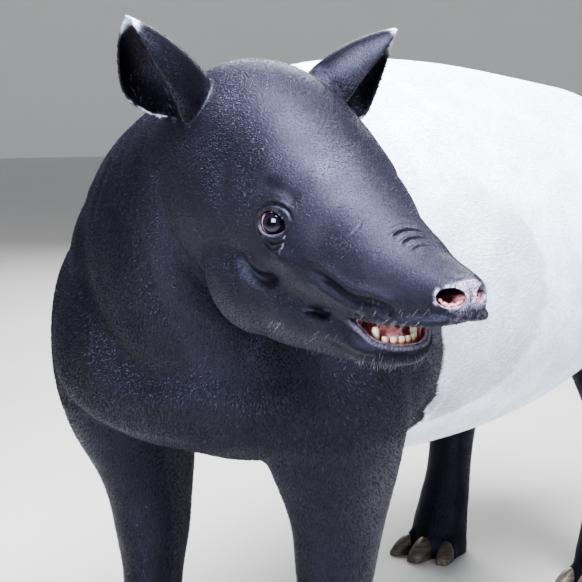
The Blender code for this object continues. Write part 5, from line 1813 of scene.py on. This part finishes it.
class EyeSettings(bpy.types.PropertyGroup):
    """The eyes."""
    iris: FloatVectorProperty(name="Iris", description="Colour of the iris", subtype="COLOR",
                              default=(0.020, 0.014, 0.042), min=0, max=1)
    rim: FloatVectorProperty(name="Rear rim", description="Reddish rear edge of the iris", subtype="COLOR",
                             default=(0.09, 0.034, 0.028), min=0, max=1)
    white: FloatVectorProperty(name="White of the eye", description="Its rear and lower edge", subtype="COLOR",
                               default=(0.42, 0.30, 0.31), min=0, max=1)
    bulge: FloatProperty(name="Bulge", description="How far the clear front stands off the ball, as a share of it",
                         default=0.030, min=0, max=0.2)


class MouthSettings(bpy.types.PropertyGroup):
    """The gum, teeth and tongue."""
    gum: FloatVectorProperty(name="Gum", description="Colour of the lower gum", subtype="COLOR",
                             default=(0.80, 0.40, 0.41), min=0, max=1)
    tongue: FloatVectorProperty(name="Tongue", description="Colour of the tongue", subtype="COLOR",
                                default=(0.95, 0.52, 0.54), min=0, max=1)
    ivory: FloatVectorProperty(name="Ivory", description="Colour of clean teeth", subtype="COLOR",
                               default=(0.90, 0.83, 0.64), min=0, max=1)
    stain: FloatVectorProperty(name="Stain", description="Colour of the stains on the teeth", subtype="COLOR",
                               default=(0.36, 0.22, 0.09), min=0, max=1)


class HoofSettings(bpy.types.PropertyGroup):
    """The hooves."""
    horn: FloatVectorProperty(name="Horn", description="Colour of the horn", subtype="COLOR",
                              default=(0.050, 0.042, 0.037), min=0, max=1)
    worn: FloatVectorProperty(name="Worn horn", description="Colour of its growth rings and worn edge",
                              subtype="COLOR", default=(0.21, 0.17, 0.13), min=0, max=1)


class StageSettings(bpy.types.PropertyGroup):
    """The floor, the lights and the camera."""
    floor: FloatVectorProperty(name="Floor", description="Colour of the floor", subtype="COLOR",
                               default=(0.49, 0.475, 0.45), min=0, max=1)
    sky: FloatProperty(name="Room light", description="Strength of the light from all round", default=0.16, min=0, max=5)
    key: FloatProperty(name="Main light", description="Power of the light overhead", unit="POWER",
                       default=510.0, min=0, max=5000)
    lens: FloatProperty(name="Lens", description="Focal length on a 36 mm sensor", unit="CAMERA",
                        default=105.15, min=10, max=400)
    camera_turn: FloatProperty(name="Camera turn", description="Of the view, from the animal's front to its left",
                               subtype="ANGLE", unit="ROTATION", default=math.radians(35))
    camera_rise: FloatProperty(name="Camera rise", description="How far the camera looks down",
                               subtype="ANGLE", unit="ROTATION", default=math.radians(10))
    head_from_camera: FloatVectorProperty(name="Head from camera", description="Across, below and ahead of the camera",
                                          subtype="XYZ", unit="LENGTH", default=(-0.042, -0.234, 2.127))


class TAPIR_OT_skin(bpy.types.Operator):
    """Builds the one skin of the head, ears, body, legs and tail, with its folds and markings"""
    bl_idname = "tapir.skin"
    bl_label = "Skin"

    def execute(self, context):
        hide = context.scene.tapir_hide
        skin = whole_skin(hide.head_voxel, hide.body_voxel)
        skin.name = "skin"
        mesh = skin.data
        refined(skin, fine_places(coordinates(mesh)))
        mesh = skin.data
        surface = tree_of(skin)
        points = coordinates(mesh)
        normals = normals_of(mesh)
        sculpted_body(points, normals)
        crease = sculpted_head(points, normals, surface)
        local = in_head(points)
        on_head = step_between(-0.12, 0.0, local[:, 0]) * step_between(-0.36, -0.30, local[:, 2])
        depth = BODY_COAT * (1 - on_head) + HEAD_COAT * on_head
        put_back(mesh, points)
        points -= normals_of(mesh) * depth[:, None] * step_between(0.004, 0.030, points[:, 2])[:, None]
        points[:, 2] = np.maximum(points[:, 2], 0.0)
        put_back(mesh, points)
        store(mesh, "crease", crease)
        fewer = skin.modifiers.new("fewer", "DECIMATE")
        fewer.ratio = min(1.0, hide.triangles / len(mesh.polygons))
        applied(skin)
        mesh = skin.data
        points, normals = coordinates(mesh), normals_of(mesh)
        crease = numbers_of(mesh, "crease")
        mesh.attributes.remove(mesh.attributes["crease"])
        for name, values in markings(points, normals, crease).items():
            store(mesh, name, values)
        store(mesh, "lie", lie_of_coat(points, normals))
        unwrapped(skin)
        standing(skin)
        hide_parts(*FLESH)
        finished(skin, "black_coat", hide_material(hide))
        return {"FINISHED"}


class TAPIR_OT_coat(bpy.types.Operator):
    """Grows the short coat over the skin, region by region"""
    bl_idname = "tapir.coat"
    bl_label = "Coat"

    def execute(self, context):
        hide, coat = context.scene.tapir_hide, context.scene.tapir_coat
        skin = bpy.data.objects["skin"]
        tree = hairs_tree()
        strand = strand_object("strand", ((0.0, 0.5, -0.10), (0.5, 0.42, 0.10), (1.0, 0.0, 0.05)))
        material = hair_material(hide)
        points = coordinates(skin.data) + np.array(BOX_MIDDLE)
        for i, (name, keep, kind) in enumerate(coat_regions(points)):
            piece = part_of_skin(skin, name, keep)
            weight = numbers_of(piece.data, "hairy")
            room = coat.most / area_of(piece.data, weight)
            length = getattr(coat, kind)
            wanted = COVER / (length * HAIR_WIDTH[kind])
            values = {
                "Strand": strand,
                "Hairs_per_Square_Metre": min(wanted, room),
                "Length": length,
                "Width": HAIR_WIDTH[kind],
                "Lift": coat.lift,
                "Uneven_Length": 0.30,
                "Swing": 0.32,
                "Seed": coat.seed + i,
                "Finish": material,
            }
            grown(piece, tree, name, **values)
            slot = "white_coat" if name in ("coat_left", "coat_right", "coat_rump") else "black_coat"
            finished(piece, slot, smooth=False)
        bpy.data.objects.remove(strand)
        return {"FINISHED"}


class TAPIR_OT_whiskers(bpy.types.Operator):
    """Grows the stiff hairs of the lips, chin and lids, and the fringes of the ears and tail"""
    bl_idname = "tapir.whiskers"
    bl_label = "Whiskers"

    def execute(self, context):
        settings = context.scene.tapir_whiskers
        skin = bpy.data.objects["skin"]
        tree = bpy.data.node_groups.get("hairs")
        if tree is None:
            raise RuntimeError("the coat comes before the whiskers")
        tree = known_tree(tree)
        rows = ((0.0, 0.5, -0.05), (0.3, 0.42, 0.03), (0.6, 0.32, 0.02), (0.85, 0.18, -0.03), (1.0, 0.0, -0.10))
        strand = strand_object("strand", rows)
        material = long_hair_material("whisker", settings.root, settings.tip)
        points = coordinates(skin.data) + np.array(BOX_MIDDLE)
        normals = normals_of(skin.data)
        local = in_head(points)
        turn = np.array(HEAD.to_3x3())
        for i, (name, region, way, share, count, width, lift) in enumerate(WHISKERS):
            keep = region(local, points, normals @ turn)
            piece = part_of_skin(skin, name, keep)
            normals_there = normals_of(piece.data)
            lie = np.tile(turn @ np.array(way), (len(normals_there), 1))
            lie -= normals_there * (lie * normals_there).sum(1)[:, None]
            piece.data.attributes["lie"].data.foreach_set("vector", lie.astype(np.float32).ravel())
            even = np.ones(len(normals_there), np.float32)
            piece.data.attributes["hairy"].data.foreach_set("value", even)
            values = {
                "Strand": strand,
                "Hairs_per_Square_Metre": count / area_of(piece.data, even),
                "Length": settings.length * share,
                "Uneven_Length": 0.45,
                "Width": width,
                "Lift": math.radians(lift),
                "Swing": 0.5,
                "Seed": settings.seed + i,
                "Finish": material,
            }
            grown(piece, tree, name, **values)
            finished(piece, "black_coat", smooth=False)
        bpy.data.objects.remove(strand)
        return {"FINISHED"}


class TAPIR_OT_eyes(bpy.types.Operator):
    """Makes both eyes"""
    bl_idname = "tapir.eyes"
    bl_label = "Eyes"

    def execute(self, context):
        settings = context.scene.tapir_eyes
        material = eye_material(settings)
        for name, side in SIDES.items():
            piece = eyeball(side, settings)
            piece.name = "eyeball_" + name
            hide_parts("eye_" + name)
            finished(piece, "eye", material)
        return {"FINISHED"}


class TAPIR_OT_mouth(bpy.types.Operator):
    """Makes the lower gum, its teeth and the tongue"""
    bl_idname = "tapir.mouth"
    bl_label = "Mouth"

    def execute(self, context):
        settings = context.scene.tapir_mouth
        gum = fine_rings(gum_rings(), "gum")
        teeth = []
        for tooth in TEETH:
            for side in SIDES.values():
                teeth.append(crown(tooth, side))
        teeth = merged(teeth, "teeth")
        tongue = fine_rings(tongue_rings(), "tongue_surface")
        flaps = merged([nostril_flap(side) for side in SIDES.values()], "nostril_flaps")
        wet = gum_material(settings)
        for piece, slot, material, node in (
            (gum, "mouth", wet, "lower_teeth"),
            (teeth, "tooth", tooth_material(settings), "lower_teeth"),
            (tongue, "mouth", tongue_material(settings), "tongue"),
        ):
            piece.data.transform(HEAD)
            standing(piece)
            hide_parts(node)
            finished(piece, slot, material)
        flaps.data.transform(HEAD)
        finished(standing(flaps), "mouth", wet)
        return {"FINISHED"}


class TAPIR_OT_hooves(bpy.types.Operator):
    """Makes the hooves of all four feet"""
    bl_idname = "tapir.hooves"
    bl_label = "Hooves"

    def execute(self, context):
        made, nodes = [], []
        for foot, (_, toes) in FEET.items():
            for name, side in SIDES.items():
                for toe, toe_name in zip(toes, TOE_NAMES):
                    made.append(hoof(foot, side, toe))
                    nodes.append("_".join(("hoof", foot, toe_name, name)))
        piece = standing(merged(made, "hooves"))
        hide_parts(*nodes)
        finished(piece, "hoof", hoof_material(context.scene.tapir_hooves))
        piece.data.set_sharp_from_angle(angle=math.radians(60))
        return {"FINISHED"}


class TAPIR_OT_stage(bpy.types.Operator):
    """Sets the floor, the soft lights and the camera"""
    bl_idname = "tapir.stage"
    bl_label = "Stage"

    def execute(self, context):
        settings = context.scene.tapir_stage
        rings = [[(r * math.cos(a), r * math.sin(a), z) for a in np.linspace(0, 2 * np.pi, 96, endpoint=False)]
                 for r, z in filled_in(FLOOR, 24)]
        bm = bmesh.new()
        loft(bm, rings, ends=False)
        bmesh.ops.create_circle(bm, cap_ends=True, cap_tris=True, radius=FLOOR[0][0], segments=96)
        floor = linked("floor", bm)
        floor.data.materials.append(floor_material(settings))
        floor.data.shade_smooth()
        world = bpy.data.worlds.new("room")
        world.use_nodes = True
        back = world.node_tree.nodes["Background"]
        back.inputs["Color"].default_value = (0.86, 0.91, 1.0, 1.0)
        back.inputs["Strength"].default_value = settings.sky
        context.scene.world = world
        middle = (0.30, 0.20, 0.60)
        lamp("overhead", (1.0, 0.8, 3.4), middle, (2.6, 2.6), settings.key, (0.93, 0.95, 1.0))
        lamp("side", (1.2, 3.6, 1.8), middle, (2.4, 2.0), settings.key * 0.10, (0.88, 0.93, 1.0))
        lamp("rear", (-3.2, -2.2, 2.4), middle, (2.4, 2.0), settings.key * 0.30, (0.95, 0.97, 1.0))
        camera = context.scene.camera = photo_camera(settings)
        near = camera.matrix_world @ Vector(WINDOW)
        lamp("window", near, POLL - BOX_MIDDLE, (1.0, 0.8), settings.key * 0.10, (0.90, 0.94, 1.0))
        context.scene.view_settings.look = "AgX - High Contrast"
        return {"FINISHED"}


STEPS = (TAPIR_OT_skin, TAPIR_OT_coat, TAPIR_OT_whiskers, TAPIR_OT_eyes, TAPIR_OT_mouth, TAPIR_OT_hooves,
         TAPIR_OT_stage)
SETTINGS = {
    "tapir_hide": HideSettings,
    "tapir_coat": CoatSettings,
    "tapir_whiskers": WhiskerSettings,
    "tapir_eyes": EyeSettings,
    "tapir_mouth": MouthSettings,
    "tapir_hooves": HoofSettings,
    "tapir_stage": StageSettings,
}


class TAPIR_PT_panel(bpy.types.Panel):
    """Lists the steps of the figure and their settings"""
    bl_label = "Tapir figure"
    bl_idname = "TAPIR_PT_panel"
    bl_space_type = "VIEW_3D"
    bl_region_type = "UI"
    bl_category = "Tapir"

    def draw(self, context):
        for step in STEPS:
            self.layout.operator(step.bl_idname)
        for name in SETTINGS:
            group = getattr(context.scene, name)
            box = self.layout.box()
            for prop in group.bl_rna.properties:
                if prop.identifier not in ("rna_type", "name"):
                    box.prop(group, prop.identifier)


def register():
    for kind in (*SETTINGS.values(), *STEPS, TAPIR_PT_panel):
        bpy.utils.register_class(kind)
    for name, kind in SETTINGS.items():
        setattr(bpy.types.Scene, name, PointerProperty(type=kind))


def unregister():
    for name in SETTINGS:
        delattr(bpy.types.Scene, name)
    for kind in (TAPIR_PT_panel, *reversed(STEPS), *reversed(SETTINGS.values())):
        bpy.utils.unregister_class(kind)


def main():
    register()
    bpy.ops.tapir.skin()
    bpy.ops.tapir.coat()
    bpy.ops.tapir.whiskers()
    bpy.ops.tapir.eyes()
    bpy.ops.tapir.mouth()
    bpy.ops.tapir.hooves()
    bpy.ops.tapir.stage()


if __name__ == "__main__":
    main()
